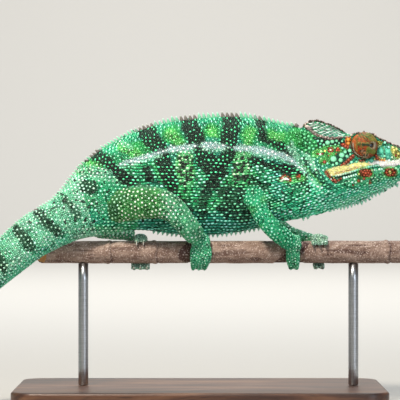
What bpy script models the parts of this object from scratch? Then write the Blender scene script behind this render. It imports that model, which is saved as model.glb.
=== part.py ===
"""Panther chameleon, adult male, life size, gripping a cut length of branch on a plain display stand.

Blender works in metres with +Z up. X runs along the branch with the head at +X, and the animal's
right side faces -Y. The lengths below are millimetres, and z is counted from the branch's axis:
the empty called "perch axis" lifts everything to its height above the ground.
"""

import math

import bmesh
import bpy
import numpy as np
from mathutils import Matrix, Vector

MM = 0.001
GAP = 0.3  # between solids that touch

PERCH_HEIGHT = 92.0  # branch axis above the ground
PERCH_RADIUS = 6.7
PERCH_ENDS = (-101.0, 132.0)
PERCH_KNOTS = ((-60.0, 0.8), (-24.5, 0.7), (112.0, 0.8))  # where a ring stands proud, and by how much
PERCH_SLANT, PERCH_TURN = 8.0, 32.0  # degrees that the left end's cut faces up and toward -Y

BASE_SIZE = (220.0, 110.0, 12.0)
BASE_CORNER = 14.0
BASE_EDGE = 1.6
ROD_RADIUS = 3.0
RODS = {"stand_rod_front": 92.0, "stand_rod_rear": -70.0}

CREST_STEP = 3.1
CREST_HEIGHT = 3.5
BELLY_STEP = 3.2
BELLY_HEIGHT = 1.5
GULAR_STEP = 2.6
GULAR_HEIGHT = 2.0

EYE_CENTRE = (97.8, 9.6, 63.6)
EYE_GAZE = (0.58, 0.81, 0.06)
TURRET_RADIUS = 8.1
EYE_RADIUS = 2.6
EYE_OUT = 6.0  # from the turret's centre to the eyeball's

# Neck, trunk and tail from the side, as rows of the back's (x, z) and the belly's (x, z), then half
# the width, the spine's y, and how sharp the keels are, where 1 is round.
BODY = (
    (60.5, 74.6, 68.0, 21.4, 12.3, 0.0, 1.20),  # behind the casque
    (52.0, 76.2, 57.5, 19.4, 12.8, 0.0, 1.25),
    (42.0, 78.6, 45.5, 16.6, 13.8, 0.0, 1.30),  # shoulders
    (31.0, 80.6, 32.5, 13.6, 15.2, 0.0, 1.35),
    (18.0, 81.6, 18.5, 11.0, 16.2, 0.0, 1.35),
    (3.0, 80.8, 4.0, 9.9, 16.6, 0.0, 1.35),
    (-12.0, 79.2, -9.0, 9.9, 16.4, 0.0, 1.35),
    (-26.0, 76.4, -21.0, 11.2, 15.6, -0.4, 1.35),
    (-39.0, 72.2, -31.0, 12.6, 14.4, -1.2, 1.30),
    (-51.0, 66.4, -41.0, 12.8, 13.2, -2.2, 1.25),  # loins
    (-62.0, 59.6, -49.0, 11.4, 12.4, -3.6, 1.20),
    (-71.0, 51.6, -57.0, 9.8, 11.9, -5.5, 1.12),
    (-77.5, 43.6, -65.0, 8.8, 11.6, -7.5, 1.05),  # vent
    (-83.0, 36.4, -72.0, 7.4, 11.4, -9.5, 1.0),
    (-89.0, 30.6, -78.5, 4.8, 11.3, -11.8, 1.0),
    (-97.5, 25.4, -85.5, 1.6, 11.1, -15.0, 1.0),
    (-108.5, 17.8, -94.3, -3.3, 10.9, -18.6, 1.0),
    (-119.5, 7.0, -103.8, -10.6, 10.8, -22.2, 1.0),
)
BODY_SIDES = 16

# From the last row the tail turns under into a coil, whose curvature grows toward the tip.
TAIL_LENGTH = 155.0
TAIL_ROWS = 26
TAIL_HEADING = 223.0  # degrees
TAIL_CURL = 0.15  # per mm, at the tip
TAIL_TIP = 1.2
TAIL_SIDE = -27.5

# Where the lengths of the body part, by row, with each length's number of rings and of sides.
LENGTHS = {
    "neck": (0.0, 2.0, 4, BODY_SIDES),
    "trunk": (2.0, 11.4, 17, BODY_SIDES),
    "tail_base": (11.4, 16.0, 9, BODY_SIDES),
    "tail_middle": (16.0, 27.0, 13, 14),
    "tail_coil": (27.0, 35.0, 13, 12),
    "tail_tip": (35.0, 43.0, 12, 10),
}

# Rows of the head from the neck to the snout: x at the crown and at the throat, the crown's height,
# (y, z) of the side crest, temple, cheek, upper lip, lower lip, jaw and pouch, and the throat's height.
HEAD = (
    (60.5, 68.0, 74.6, (4.2, 69.0), (9.0, 61.0), (11.9, 50.5), (12.4, 43.5),
     (12.3, 40.0), (11.1, 33.5), (7.0, 26.0), 21.4),
    (64.0, 70.2, 78.0, (3.6, 74.0), (8.8, 62.5), (12.7, 52.0), (13.3, 45.2),
     (13.1, 41.8), (11.9, 34.6), (7.4, 26.6), 21.8),
    (68.5, 73.0, 79.1, (6.2, 71.0), (9.6, 62.5), (13.2, 53.0), (13.9, 46.4),
     (13.6, 43.2), (12.3, 35.6), (7.5, 27.6), 22.6),
    (75.0, 77.5, 77.7, (8.7, 68.8), (9.9, 62.5), (13.4, 54.0), (14.1, 48.0),
     (13.7, 45.2), (12.2, 37.0), (7.2, 29.2), 24.2),
    (82.0, 83.0, 74.7, (9.8, 68.6), (10.2, 63.0), (13.0, 55.0), (13.7, 49.9),
     (13.3, 47.1), (11.8, 38.6), (6.8, 31.2), 25.9),
    (88.0, 88.5, 71.4, (9.8, 68.8), (10.2, 63.5), (12.3, 56.0), (13.1, 51.4),
     (12.7, 48.8), (11.2, 40.4), (6.3, 33.2), 27.8),
    (93.5, 94.0, 69.8, (9.2, 71.6), (9.8, 64.5), (11.6, 56.8), (12.4, 52.2),
     (12.0, 49.8), (10.5, 42.0), (5.8, 35.0), 29.6),
    (99.0, 99.0, 69.5, (8.4, 72.0), (9.2, 64.8), (11.0, 57.0), (11.7, 52.6),
     (11.3, 50.2), (9.8, 43.0), (5.3, 36.8), 31.8),
    (104.0, 104.0, 68.0, (7.6, 70.2), (8.4, 64.4), (10.3, 57.4), (10.9, 52.8),
     (10.5, 50.5), (9.0, 44.0), (4.8, 38.6), 34.2),
    (110.0, 109.5, 65.2, (6.8, 67.0), (7.7, 62.8), (9.3, 57.2), (9.7, 52.9),
     (9.3, 50.6), (7.9, 45.0), (4.2, 40.6), 37.0),
    (116.0, 115.5, 62.8, (5.9, 64.5), (6.8, 61.2), (8.0, 56.8), (8.3, 53.0),
     (7.9, 50.8), (6.6, 46.0), (3.6, 42.5), 40.2),
    (122.0, 121.0, 60.6, (4.7, 62.0), (5.6, 59.8), (6.4, 56.4), (6.7, 53.2),
     (6.3, 51.1), (5.2, 47.2), (2.9, 44.8), 43.4),
    (127.0, 125.5, 58.2, (3.1, 59.2), (4.0, 57.8), (4.4, 55.8), (4.6, 53.5),
     (4.3, 51.6), (3.4, 48.8), (2.0, 47.4), 46.6),
    (129.8, 128.3, 56.4, (1.4, 57.0), (2.0, 56.2), (2.3, 55.0), (2.3, 53.7),
     (2.2, 52.2), (1.6, 50.8), (1.0, 50.0), 49.6),
)
HEAD_RINGS = 20
HEAD_BOTTOM = 9  # the throat's place among a ring's points
MOUTH = ((140.0, 51.6), (116.0, 51.9), (104.0, 51.6), (94.0, 51.0), (84.0, 48.8), (77.0, 45.6))
JAW_BACK = (82.0, 10.0)  # where the cut behind the jaw runs to from the mouth's corner

# Legs from the root to the ankle, as rows of x, distance from the spine's plane, z, half the height
# seen from the side and half the thickness. The number is the row of the knee or elbow.
LEGS = {
    "hindleg_right": (4, (
        (-57.0, 7.0, 26.5, 10.0, 6.5), (-46.0, 12.5, 28.2, 10.6, 7.2), (-33.0, 17.0, 29.8, 10.4, 7.4),
        (-22.5, 20.0, 28.8, 9.4, 7.0), (-15.0, 21.2, 24.8, 8.3, 6.2), (-9.6, 20.0, 18.4, 7.3, 5.6),
        (-5.2, 16.5, 13.0, 7.1, 5.0), (-1.8, 12.0, 9.4, 6.6, 4.6))),
    "hindleg_left": (3, (
        (-48.0, 6.0, 36.0, 9.0, 6.5), (-54.5, 12.0, 30.0, 8.4, 6.8), (-61.5, 16.0, 25.5, 6.6, 6.0),
        (-66.5, 17.2, 19.2, 5.4, 5.2), (-63.5, 16.6, 12.8, 4.8, 4.8), (-54.0, 14.4, 11.2, 4.5, 4.6),
        (-46.0, 11.8, 10.8, 4.4, 4.4), (-40.5, 9.0, 9.6, 4.4, 4.4))),
    "foreleg_right": (3, (
        (30.5, 8.0, 42.0, 6.8, 5.0), (32.4, 13.0, 33.0, 6.4, 5.4), (35.2, 17.0, 25.0, 6.0, 5.0),
        (39.6, 18.6, 18.2, 6.0, 4.9), (44.6, 17.6, 13.0, 6.2, 4.8), (50.0, 14.6, 8.8, 6.1, 4.6),
        (53.6, 11.4, 5.4, 5.6, 4.4))),
    "foreleg_left": (3, (
        (31.0, 8.0, 42.0, 6.5, 5.0), (35.0, 14.0, 33.0, 5.6, 5.2), (41.0, 17.0, 25.0, 5.0, 4.8),
        (46.5, 17.6, 17.6, 4.7, 4.6), (54.0, 15.6, 11.6, 4.7, 4.5), (62.0, 12.0, 8.6, 4.4, 4.3),
        (68.5, 8.8, 7.0, 4.0, 4.0))),
}
LEG_SIDES = 10

# Feet: x, how far the palm is turned about the branch from its top toward its own leg, half the
# palm's size along the branch, round it and away from it, then the outer and the inner toes' first
# and last turn, in degrees, their number and their radius.
FEET = {
    "hindfoot_right": (0.6, 52.0, (6.4, 6.2, 4.6),
                       {"outer": (72.0, 172.0, 3, 2.65), "inner": (30.0, -62.0, 2, 1.9)}),
    "hindfoot_left": (-35.8, 44.0, (5.0, 5.4, 3.6),
                      {"outer": (66.0, 184.0, 3, 2.4), "inner": (24.0, -46.0, 2, 2.1)}),
    "forefoot_right": (55.4, 62.0, (5.8, 6.2, 4.4),
                       {"outer": (80.0, 170.0, 2, 2.55), "inner": (40.0, -52.0, 3, 1.85)}),
    "forefoot_left": (71.4, 42.0, (5.6, 5.4, 3.4),
                      {"outer": (66.0, 184.0, 2, 2.2), "inner": (22.0, -60.0, 3, 1.9)}),
}
TOE_CROWDING = 1.54  # from toe to toe, in toe radii
CLAW_LENGTH = 2.6
CLAW_RADIUS = 0.8
CLAW_TIP = 0.28

BLOCK = 60.0  # side of the blocks that cut a foot in two and slant the branch's end

SKIN = ("scaly skin", (0.16, 0.42, 0.27), 0.62, 0.0)
EYELID = ("turret skin", (0.50, 0.14, 0.05), 0.6, 0.0)
EYE = ("eye", (0.02, 0.02, 0.02), 0.08, 0.0)
BARK = ("bark", (0.30, 0.19, 0.16), 0.85, 0.0)
WOOD = ("stand wood", (0.10, 0.055, 0.03), 0.4, 0.0)
STEEL = ("stand steel", (0.55, 0.55, 0.56), 0.3, 1.0)


def material(kind):
    name, colour, roughness, metallic = kind
    made = bpy.data.materials.get(name)
    if made is None:
        made = bpy.data.materials.new(name)
        made.use_nodes = True
        shader = made.node_tree.nodes["Principled BSDF"]
        shader.inputs["Base Color"].default_value = (*colour, 1.0)
        shader.inputs["Roughness"].default_value = roughness
        shader.inputs["Metallic"].default_value = metallic
    return made


def add(name, data, kind=None, parent=None):
    """A new object on the perch's axis, as a part if it has a material and as a helper if it has none."""
    obj = bpy.data.objects.new(name, data)
    obj.parent = parent or perch_axis
    if kind is None:
        helpers.objects.link(obj)
        obj.hide_render = True
        obj.display_type = "WIRE"
    else:
        parts.objects.link(obj)
        data.materials.append(material(kind))
    return obj


def add_shape(name, shape, kind=None, smooth=True):
    """Like add, from a bmesh in millimetres."""
    bmesh.ops.recalc_face_normals(shape, faces=shape.faces)
    bmesh.ops.scale(shape, vec=(MM, MM, MM), verts=shape.verts)
    mesh = bpy.data.meshes.new(name)
    shape.to_mesh(mesh)
    shape.free()
    if smooth:
        mesh.shade_smooth()
    return add(name, mesh, kind)


def boolean(obj, operation, other):
    step = obj.modifiers.new(f"{operation.lower()} {other.name}", "BOOLEAN")
    step.operation = operation
    step.solver = "EXACT"
    step.object = other


def made_mesh(obj, kind=None):
    """The curve turned into a mesh with its caps joined on, so that a Boolean can take it."""
    bpy.context.view_layer.update()
    graph = bpy.context.evaluated_depsgraph_get()
    mesh = bpy.data.meshes.new_from_object(obj.evaluated_get(graph))
    shape = bmesh.new()
    shape.from_mesh(mesh)
    bmesh.ops.remove_doubles(shape, verts=shape.verts, dist=0.01 * MM)
    bmesh.ops.recalc_face_normals(shape, faces=shape.faces)
    shape.to_mesh(mesh)
    shape.free()
    name = obj.name
    bpy.data.objects.remove(obj, do_unlink=True)
    return add(name, mesh, kind)


def loft(name, rings, kind=None):
    """A closed body over rings that hold the same number of points."""
    shape = bmesh.new()
    rows = [[shape.verts.new(point) for point in ring] for ring in rings]
    shape.faces.new(rows[0])
    shape.faces.new(rows[-1])
    for low, high in zip(rows, rows[1:]):
        for side, corner in enumerate(low):
            shape.faces.new((low[side - 1], corner, high[side], high[side - 1]))
    return add_shape(name, shape, kind)


def frame_of(axes):
    """The turn whose own x, y and z lie along three unit axes."""
    return Matrix(axes).transposed().to_4x4()


def ellipsoid(name, centre, axes, radii, kind=None, segments=14, rings=9):
    """Its poles lie on the last of its three axes."""
    place = Matrix.Translation(centre) @ frame_of(axes) @ Matrix.Diagonal((*radii, 1.0))
    shape = bmesh.new()
    bmesh.ops.create_uvsphere(shape, u_segments=segments, v_segments=rings, radius=1.0, matrix=place)
    return add_shape(name, shape, kind)


def cube(name, matrix):
    shape = bmesh.new()
    bmesh.ops.create_cube(shape, size=BLOCK, matrix=matrix)
    return add_shape(name, shape, smooth=False)


def catmull_rom(rows, at):
    """The smooth curve through the rows, read at a row number with a fraction."""
    rows = np.asarray(rows, dtype=float)
    start = int(min(max(math.floor(at), 0), len(rows) - 2))
    part = at - start
    here, there = rows[start], rows[start + 1]
    before = rows[start - 1] if start > 0 else 2 * here - there
    after = rows[start + 2] if start + 2 < len(rows) else 2 * there - here
    return 0.5 * (
        2 * here
        + (there - before) * part
        + (2 * before - 5 * here + 4 * there - after) * part**2
        + (3 * here - before - 3 * there + after) * part**3
    )


def unit(vector):
    return np.asarray(vector) / np.linalg.norm(vector)


# Neck, trunk and tail


def tail_rows():
    """The rows that follow BODY's last one, along a line that bends more and more."""
    back_x, back_z, low_x, low_z, _, first_side, _ = BODY[-1]
    x, z = (back_x + low_x) / 2, (back_z + low_z) / 2
    first_radius = math.hypot(back_x - low_x, back_z - low_z) / 2
    heading = math.radians(TAIL_HEADING)
    fine = 20
    step = TAIL_LENGTH / TAIL_ROWS / fine
    rows = []
    for row in range(TAIL_ROWS):
        for part in range(fine):
            along = (row + (part + 0.5) / fine) / TAIL_ROWS
            heading += TAIL_CURL * (max(along - 0.1, 0.0) / 0.9) ** 1.6 * step
            x += math.cos(heading) * step
            z += math.sin(heading) * step
        left = 1 - (row + 1) / TAIL_ROWS
        radius = TAIL_TIP + (first_radius - TAIL_TIP) * left**1.3
        side = TAIL_SIDE + (first_side - TAIL_SIDE) * left**2
        up_x, up_z = math.sin(heading) * radius, -math.cos(heading) * radius
        rows.append((x + up_x, z + up_z, x - up_x, z - up_z, radius * 0.94, side, 1.0))
    return rows


def body_ring(at, grow=0.0, count=BODY_SIDES):
    back_x, back_z, low_x, low_z, width, side, keel = catmull_rom(body_rows, at)
    centre = np.array(((back_x + low_x) / 2, side, (back_z + low_z) / 2))
    up = np.array(((back_x - low_x) / 2, 0.0, (back_z - low_z) / 2))
    up *= 1 + grow / np.linalg.norm(up)
    sag = 0.45 * (keel - 1.0)  # the trunk is widest below its middle
    ring = []
    for turn in np.linspace(0, 2 * math.pi, count, endpoint=False):
        across = math.copysign(abs(math.cos(turn)) ** keel, math.cos(turn))
        height = math.sin(turn) - sag * math.cos(turn) ** 2
        ring.append(centre + up * height + np.array((0.0, (width + grow) * across, 0.0)))
    return np.array(ring)


def rows_for(distance, at):
    """How many rows the distance along the spine takes up there."""
    behind, ahead = (body_ring(place).mean(axis=0) for place in (at - 0.05, at + 0.05))
    return 0.1 * distance / np.linalg.norm(ahead - behind)


def back_line(at):
    """A point of the back, the way up from the spine there, and the way toward the tail."""
    here, behind = catmull_rom(body_rows, at), catmull_rom(body_rows, at + 0.05)
    up = unit((here[0] - here[2], 0.0, here[1] - here[3]))
    return here[[0, 5, 1]], up, unit(behind[[0, 5, 1]] - here[[0, 5, 1]])


def belly_line(at):
    _, up, along = back_line(at)
    return catmull_rom(body_rows, at)[[2, 5, 3]], -up, along


def throat_line(at):
    here, ahead = (head_ring(place)[HEAD_BOTTOM] for place in (at, at + 0.05))
    along = unit(here - ahead)
    return here, np.array((-along[2], 0.0, along[0])), along


def spines(name, line, span, step, height, lean, sunk):
    """Cones in a row from one place of a line to another, as one helper for a union."""
    shape = bmesh.new()
    at, end = span
    walked = due = 0.0
    before = line(at)[0]
    while at < end:
        root, up, along = line(at)
        walked += np.linalg.norm(root - before)
        before = root
        if walked >= due:
            tall, pitch = height(at), step(at)
            due += pitch
            tip = unit(up + along * lean)
            across = unit(np.cross(up, along))
            middle = root + tip * (tall - sunk) / 2
            place = Matrix.Translation(middle) @ frame_of((across, np.cross(tip, across), tip))
            bmesh.ops.create_cone(shape, cap_ends=True, segments=5, radius1=0.42 * pitch, radius2=0.0,
                                  depth=tall + sunk, matrix=place)
        at += 0.01
    return add_shape(name, shape, smooth=False)


def crest_height(at):
    return CREST_HEIGHT * (1.0 if at < 8 else max(0.25, 1 - (at - 8) * 0.075))


def crest_step(at):
    return CREST_STEP * (1.0 if at < 11 else max(0.62, 1 - (at - 11) * 0.03))


def body():
    made = {}
    for name, (start, end, rings, sides) in LENGTHS.items():
        last = end - rows_for(GAP / 2, end) if name != "tail_tip" else end
        places = np.linspace(start + rows_for(GAP / 2, start), last, rings)
        made[name] = loft(name, [body_ring(at, 0.0, sides) for at in places], SKIN)
    crests = {"neck": (0.25, 1.85), "trunk": (2.15, 11.2), "tail_base": (11.6, 15.8),
              "tail_middle": (16.2, 21.5)}
    for name, span in crests.items():
        crest = spines(name + " crest", back_line, span, crest_step, crest_height, 0.25, 1.3)
        boolean(made[name], "UNION", crest)
    # The fringe breaks off over the right hind foot, which lies close under the belly.
    fringes = (("neck", (0.3, 1.8)), ("trunk", (2.2, 4.5)), ("trunk", (6.2, 9.5)))
    for name, span in fringes:
        fringe = spines(f"{name} fringe {span[0]}", belly_line, span, lambda at: BELLY_STEP,
                        lambda at: BELLY_HEIGHT, 0.2, 0.9)
        boolean(made[name], "UNION", fringe)


# Head, jaw and eyes


def head_ring(at):
    flat = [np.concatenate([np.ravel(value) for value in row]) for row in HEAD]
    row = catmull_rom(flat, min(at, len(HEAD) - 1))
    crown_x, throat_x, crown = row[:3]
    sides, throat = row[3:17].reshape(7, 2), row[17]
    hollow = (sides[0] + (0.0, crown)) / 2 - (0.0, 0.7)  # between the crown and the side crest
    half = [(0.0, crown), hollow, *sides, (0.0, throat)]
    ring = half + [(-y, z) for y, z in reversed(half[1:-1])]
    slant = (crown_x - throat_x) / (crown - throat)
    return np.array([(throat_x + slant * (z - throat), y, z) for y, z in ring])


def drawn_out(name, outline, half_width):
    """An outline in x and z filled and drawn out both ways in y, as a cutter."""
    curve = bpy.data.curves.new(name, "CURVE")
    curve.dimensions = "2D"
    curve.fill_mode = "BOTH"
    curve.extrude = half_width * MM
    spline = curve.splines.new("POLY")
    spline.points.add(len(outline) - 1)
    for point, (x, z) in zip(spline.points, outline):
        point.co = (x * MM, z * MM, 0.0, 1.0)
    spline.use_cyclic_u = True
    flat = add(name, curve)
    made = made_mesh(flat)
    made.rotation_euler = (math.pi / 2, 0.0, 0.0)
    return made


def eyes():
    """Both turrets and eyeballs, and the rooms that the head leaves for the turrets."""
    rooms = []
    for side, mirror in (("right", -1), ("left", 1)):
        centre = np.array(EYE_CENTRE) * (1, mirror, 1)
        gaze = unit(EYE_GAZE) * (1, mirror, 1)
        across = unit(np.cross((0.0, 0.0, 1.0), gaze))
        axes = (across, np.cross(gaze, across), gaze)
        front = centre + gaze * EYE_OUT
        turret = ellipsoid("eye_turret_" + side, centre, axes, [TURRET_RADIUS] * 3, EYELID)
        boolean(turret, "DIFFERENCE", ellipsoid(f"eye room {side}", front, axes, [EYE_RADIUS + GAP] * 3,
                                                segments=10, rings=7))
        ellipsoid("eye_" + side, front, axes, [EYE_RADIUS] * 3, EYE, segments=10, rings=7)
        rooms.append(ellipsoid(f"turret room {side}", centre, axes, [TURRET_RADIUS + GAP] * 3))
    return rooms


def head():
    rings = [head_ring(at) for at in np.linspace(0.0, len(HEAD) - 1, HEAD_RINGS)]
    rings[0][:, 0] += GAP / 2
    corner_x, corner_z = MOUTH[-1]
    back_x, back_z = JAW_BACK
    upper = [(x, z + GAP / 2) for x, z in MOUTH[:-1]] + [
        (corner_x - GAP, corner_z), (back_x - GAP, back_z), (40.0, back_z), (40.0, 95.0), (140.0, 95.0)]
    lower = [(x, z - GAP / 2) for x, z in MOUTH[:-1]] + [
        (corner_x + GAP, corner_z - GAP), (back_x + GAP, back_z), (140.0, back_z)]
    skull = loft("head", rings, SKIN)
    boolean(skull, "INTERSECT", drawn_out("head room", upper, 30.0))
    for room in eyes():
        boolean(skull, "DIFFERENCE", room)
    jaw = loft("lower_jaw", rings, SKIN)
    boolean(jaw, "INTERSECT", drawn_out("jaw room", lower, 30.0))
    boolean(jaw, "UNION", spines("gular spines", throat_line, (4.7, 12.3), lambda at: GULAR_STEP,
                                 lambda at: GULAR_HEIGHT, 0.15, 1.2))


# Legs and feet


def leg_ring(rows, at, mirror, grow):
    row = catmull_rom(rows, at)
    along = unit((catmull_rom(rows, at + 0.1) - catmull_rom(rows, at - 0.1))[:3] * (1, mirror, 1))
    high = unit(np.cross(along, (0.0, 1.0, 0.0)))
    wide = np.cross(high, along)
    centre = row[:3] * (1, mirror, 1)
    return [centre + high * (row[3] + grow) * math.cos(turn) + wide * (row[4] + grow) * math.sin(turn)
            for turn in np.linspace(0, 2 * math.pi, LEG_SIDES, endpoint=False)]


def leg(name, upper_name, lower_name, mirror, palm_room):
    knee, rows = LEGS[name]
    last = len(rows) - 1

    def length(part_name, start, end, grow, kind=None):
        places = np.linspace(start, end, int((end - start) * 2) + 2)
        return loft(part_name, [leg_ring(rows, at, mirror, grow) for at in places], kind)

    past = 0.1 * GAP / np.linalg.norm((catmull_rom(rows, knee + 0.1) - catmull_rom(rows, knee))[:3])
    upper = length(f"{name}_{upper_name}", 0.0, knee, 0.0, SKIN)
    lower = length(f"{name}_{lower_name}", knee, last, 0.0, SKIN)
    for cutter in (trunk_room, perch_room):
        boolean(upper, "DIFFERENCE", cutter)
        boolean(lower, "DIFFERENCE", cutter)
    boolean(lower, "DIFFERENCE", length(f"{name} room", 0.0, knee + past, GAP))
    boolean(lower, "DIFFERENCE", palm_room)


def outward(turn):
    """The way out from the branch at a turn in degrees from its top toward -Y."""
    angle = math.radians(turn)
    return np.array((0.0, -math.sin(angle), math.cos(angle)))


def toe(name, x, splay, start, end, radius, mirror):
    """A toe round the branch that ends in a claw, as a helper for a union."""
    claw = math.degrees(CLAW_LENGTH / (PERCH_RADIUS + radius)) * math.copysign(1, end - start)
    stages = [(start + (end - start) * share, radius * size, radius, share)
              for share, size in ((0.0, 0.95), (0.25, 1.05), (0.55, 1.0), (0.85, 0.98), (1.0, 0.84))]
    stages += [(end + 0.06 * claw, CLAW_RADIUS, 1.3, 1.0), (end + claw, CLAW_TIP, 0.6, 1.0)]
    curve = bpy.data.curves.new(name, "CURVE")
    curve.dimensions = "3D"
    curve.bevel_depth = MM
    curve.bevel_resolution = 1
    curve.use_fill_caps = True
    spline = curve.splines.new("POLY")
    spline.points.add(len(stages) - 1)
    for point, (turn, thick, away, share) in zip(spline.points, stages):
        out = outward(turn * mirror) * (PERCH_RADIUS + GAP + away)
        point.co = (*((out + (x + splay * share, 0.0, 0.0)) * MM), 1.0)
        point.radius = thick
    return made_mesh(add(name, curve))


def foot(name, mirror):
    """The two halves of a foot, and the room that it needs in the leg."""
    x, palm_turn, palm, bundles = FEET[name]
    out = outward(palm_turn * mirror)
    round_it = outward((palm_turn + 90) * mirror)
    axes = ((1.0, 0.0, 0.0), round_it, out)
    centre = np.array((x, 0.0, 0.0)) + out * (PERCH_RADIUS + GAP + palm[2] * 0.75)
    for side, (start, end, count, radius) in bundles.items():
        half = ellipsoid(f"{name}_{side}", centre, axes, palm, SKIN, segments=9, rings=5)
        for number in range(count):
            place = number - (count - 1) / 2
            boolean(half, "UNION", toe(f"{name} {side} toe {number}", x + place * TOE_CROWDING * radius,
                                       place * 0.8, start, end, radius, mirror))
        away = (BLOCK / 2 + GAP / 2) * (1 if side == "outer" else -1)
        middle = np.array((x, 0.0, 0.0)) + round_it * away
        boolean(half, "INTERSECT", cube(f"{name} {side} room", Matrix.Translation(middle) @ frame_of(axes)))
        boolean(half, "DIFFERENCE", perch_room)
        boolean(half, "DIFFERENCE", trunk_room)
    return ellipsoid(f"{name} palm room", centre, axes, [size + GAP for size in palm], segments=9, rings=5)


# Perch and stand


def turned_perch(name, grow, ends, kind=None):
    """The branch as a profile turned about X."""
    places = {x: 0.0 for x in np.linspace(*ends, 5)}
    for knot, proud in PERCH_KNOTS:
        places.update({knot - 2.2: 0.0, knot - 0.7: proud, knot + 0.7: proud, knot + 2.2: 0.0})
    outline = [(PERCH_RADIUS + grow + places[x], x) for x in sorted(places, reverse=True)]
    outline = [(0.0, ends[1]), *outline, (0.0, ends[0])]
    shape = bmesh.new()
    corners = [shape.verts.new((radius * MM, 0.0, along * MM)) for radius, along in outline]
    for low, high in zip(corners, corners[1:]):
        shape.edges.new((low, high))
    mesh = bpy.data.meshes.new(name)
    shape.to_mesh(mesh)
    shape.free()
    obj = add(name, mesh, kind)
    obj.rotation_euler = (0.0, math.pi / 2, 0.0)
    screw = obj.modifiers.new("turned", "SCREW")
    screw.steps = screw.render_steps = 16
    screw.use_merge_vertices = True
    screw.merge_threshold = 0.0001
    return obj


def perch():
    branch = turned_perch("perch_branch", 0.0, PERCH_ENDS, BARK)
    slant = Matrix.Rotation(math.radians(-PERCH_SLANT), 4, "Y") @ Matrix.Rotation(math.radians(PERCH_TURN), 4, "Z")
    corner = Matrix.Translation((PERCH_ENDS[0], PERCH_RADIUS, PERCH_RADIUS))
    beyond = Matrix.Translation((-BLOCK / 2, 0.0, 0.0))
    boolean(branch, "DIFFERENCE", cube("perch end", corner @ slant @ beyond))


def stand():
    shape = bmesh.new()
    bmesh.ops.create_cube(shape, size=1.0, matrix=Matrix.Diagonal((*BASE_SIZE, 1.0)))
    upright = [edge for edge in shape.edges if abs(edge.verts[0].co.z - edge.verts[1].co.z) > 1.0]
    bmesh.ops.bevel(shape, geom=upright, offset=BASE_CORNER, segments=5, profile=0.5, affect="EDGES")
    base = add_shape("stand_base", shape, WOOD, smooth=False)
    base.location.z = (BASE_SIZE[2] / 2 - PERCH_HEIGHT) * MM
    edge = base.modifiers.new("eased edges", "BEVEL")
    edge.width = BASE_EDGE * MM
    edge.segments = 1
    edge.limit_method = "ANGLE"
    edge.angle_limit = math.radians(50)
    low = BASE_SIZE[2] + GAP - PERCH_HEIGHT
    for name, x in RODS.items():
        shape = bmesh.new()
        bmesh.ops.create_cone(shape, cap_ends=True, segments=14, radius1=ROD_RADIUS, radius2=ROD_RADIUS,
                              depth=-low, matrix=Matrix.Translation((x, 0.0, low / 2)))
        boolean(add_shape(name, shape, STEEL), "DIFFERENCE", perch_room)


for leftover in list(bpy.data.objects):
    bpy.data.objects.remove(leftover, do_unlink=True)
parts = bpy.data.collections.new("panther_chameleon")
helpers = bpy.data.collections.new("cutters")
helpers.hide_render = True
for group in (parts, helpers):
    bpy.context.scene.collection.children.link(group)
perch_axis = bpy.data.objects.new("perch axis", None)
perch_axis.location.z = PERCH_HEIGHT * MM
parts.objects.link(perch_axis)

body_rows = np.array([*BODY, *tail_rows()])
trunk_room = loft("trunk room", [body_ring(at, GAP) for at in np.linspace(0.0, 17.0, 36)])
perch_room = turned_perch("perch room", GAP, (PERCH_ENDS[0] - 5, PERCH_ENDS[1] + 5))

body()
head()
for side, mirror in (("right", 1), ("left", -1)):
    leg("hindleg_" + side, "thigh", "shank", -mirror, foot("hindfoot_" + side, mirror))
    leg("foreleg_" + side, "upper", "lower", -mirror, foot("forefoot_" + side, mirror))
perch()
stand()
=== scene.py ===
import math

import bmesh
import bpy
import numpy as np
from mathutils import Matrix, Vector
from mathutils.bvhtree import BVHTree
from mathutils.kdtree import KDTree


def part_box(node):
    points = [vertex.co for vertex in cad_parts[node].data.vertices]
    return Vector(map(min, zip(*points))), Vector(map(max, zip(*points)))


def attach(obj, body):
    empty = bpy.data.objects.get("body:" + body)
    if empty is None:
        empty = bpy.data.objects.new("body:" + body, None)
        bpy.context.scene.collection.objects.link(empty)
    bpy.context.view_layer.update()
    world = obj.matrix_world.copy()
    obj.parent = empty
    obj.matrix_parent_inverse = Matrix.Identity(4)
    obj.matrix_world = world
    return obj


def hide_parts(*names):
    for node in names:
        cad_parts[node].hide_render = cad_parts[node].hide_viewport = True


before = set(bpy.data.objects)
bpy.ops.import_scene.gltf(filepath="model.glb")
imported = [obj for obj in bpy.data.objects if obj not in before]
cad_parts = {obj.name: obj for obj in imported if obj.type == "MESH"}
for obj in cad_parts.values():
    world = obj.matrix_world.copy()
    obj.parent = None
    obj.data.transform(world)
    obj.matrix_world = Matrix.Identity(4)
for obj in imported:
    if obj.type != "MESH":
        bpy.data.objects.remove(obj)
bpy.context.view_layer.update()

# A life-size panther chameleon on a cut branch and a display stand. Lengths below are millimetres,
# heights are counted from the branch's axis, and the animal's right side faces -Y.

mm = 0.001
scene = bpy.context.scene
branchLow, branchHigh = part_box("perch_branch")
axisHeight = (branchLow.z + branchHigh.z) / 2 / mm
fleshNames = [n for n in sorted(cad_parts) if not n.startswith(("eye", "perch", "stand"))]
chance = np.random.default_rng(7)


# Small tools

def linearColour(hexText):
    shares = [int(hexText[at:at + 2], 16) / 255 for at in (0, 2, 4)]
    return np.array([s / 12.92 if s <= 0.04045 else ((s + 0.055) / 1.055) ** 2.4 for s in shares])


def solid(hexText):  # the colour as a socket takes it
    return (*linearColour(hexText), 1)


def addNode(tree, kind, inputs=None, **settings):  # inputs take a value, or another node's socket
    node = tree.nodes.new(kind)
    for name, value in settings.items():
        setattr(node, name, value)
    for key, value in (inputs or {}).items():
        if isinstance(value, bpy.types.NodeSocket):
            tree.links.new(value, node.inputs[key])
        else:
            node.inputs[key].default_value = value
    return node


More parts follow.
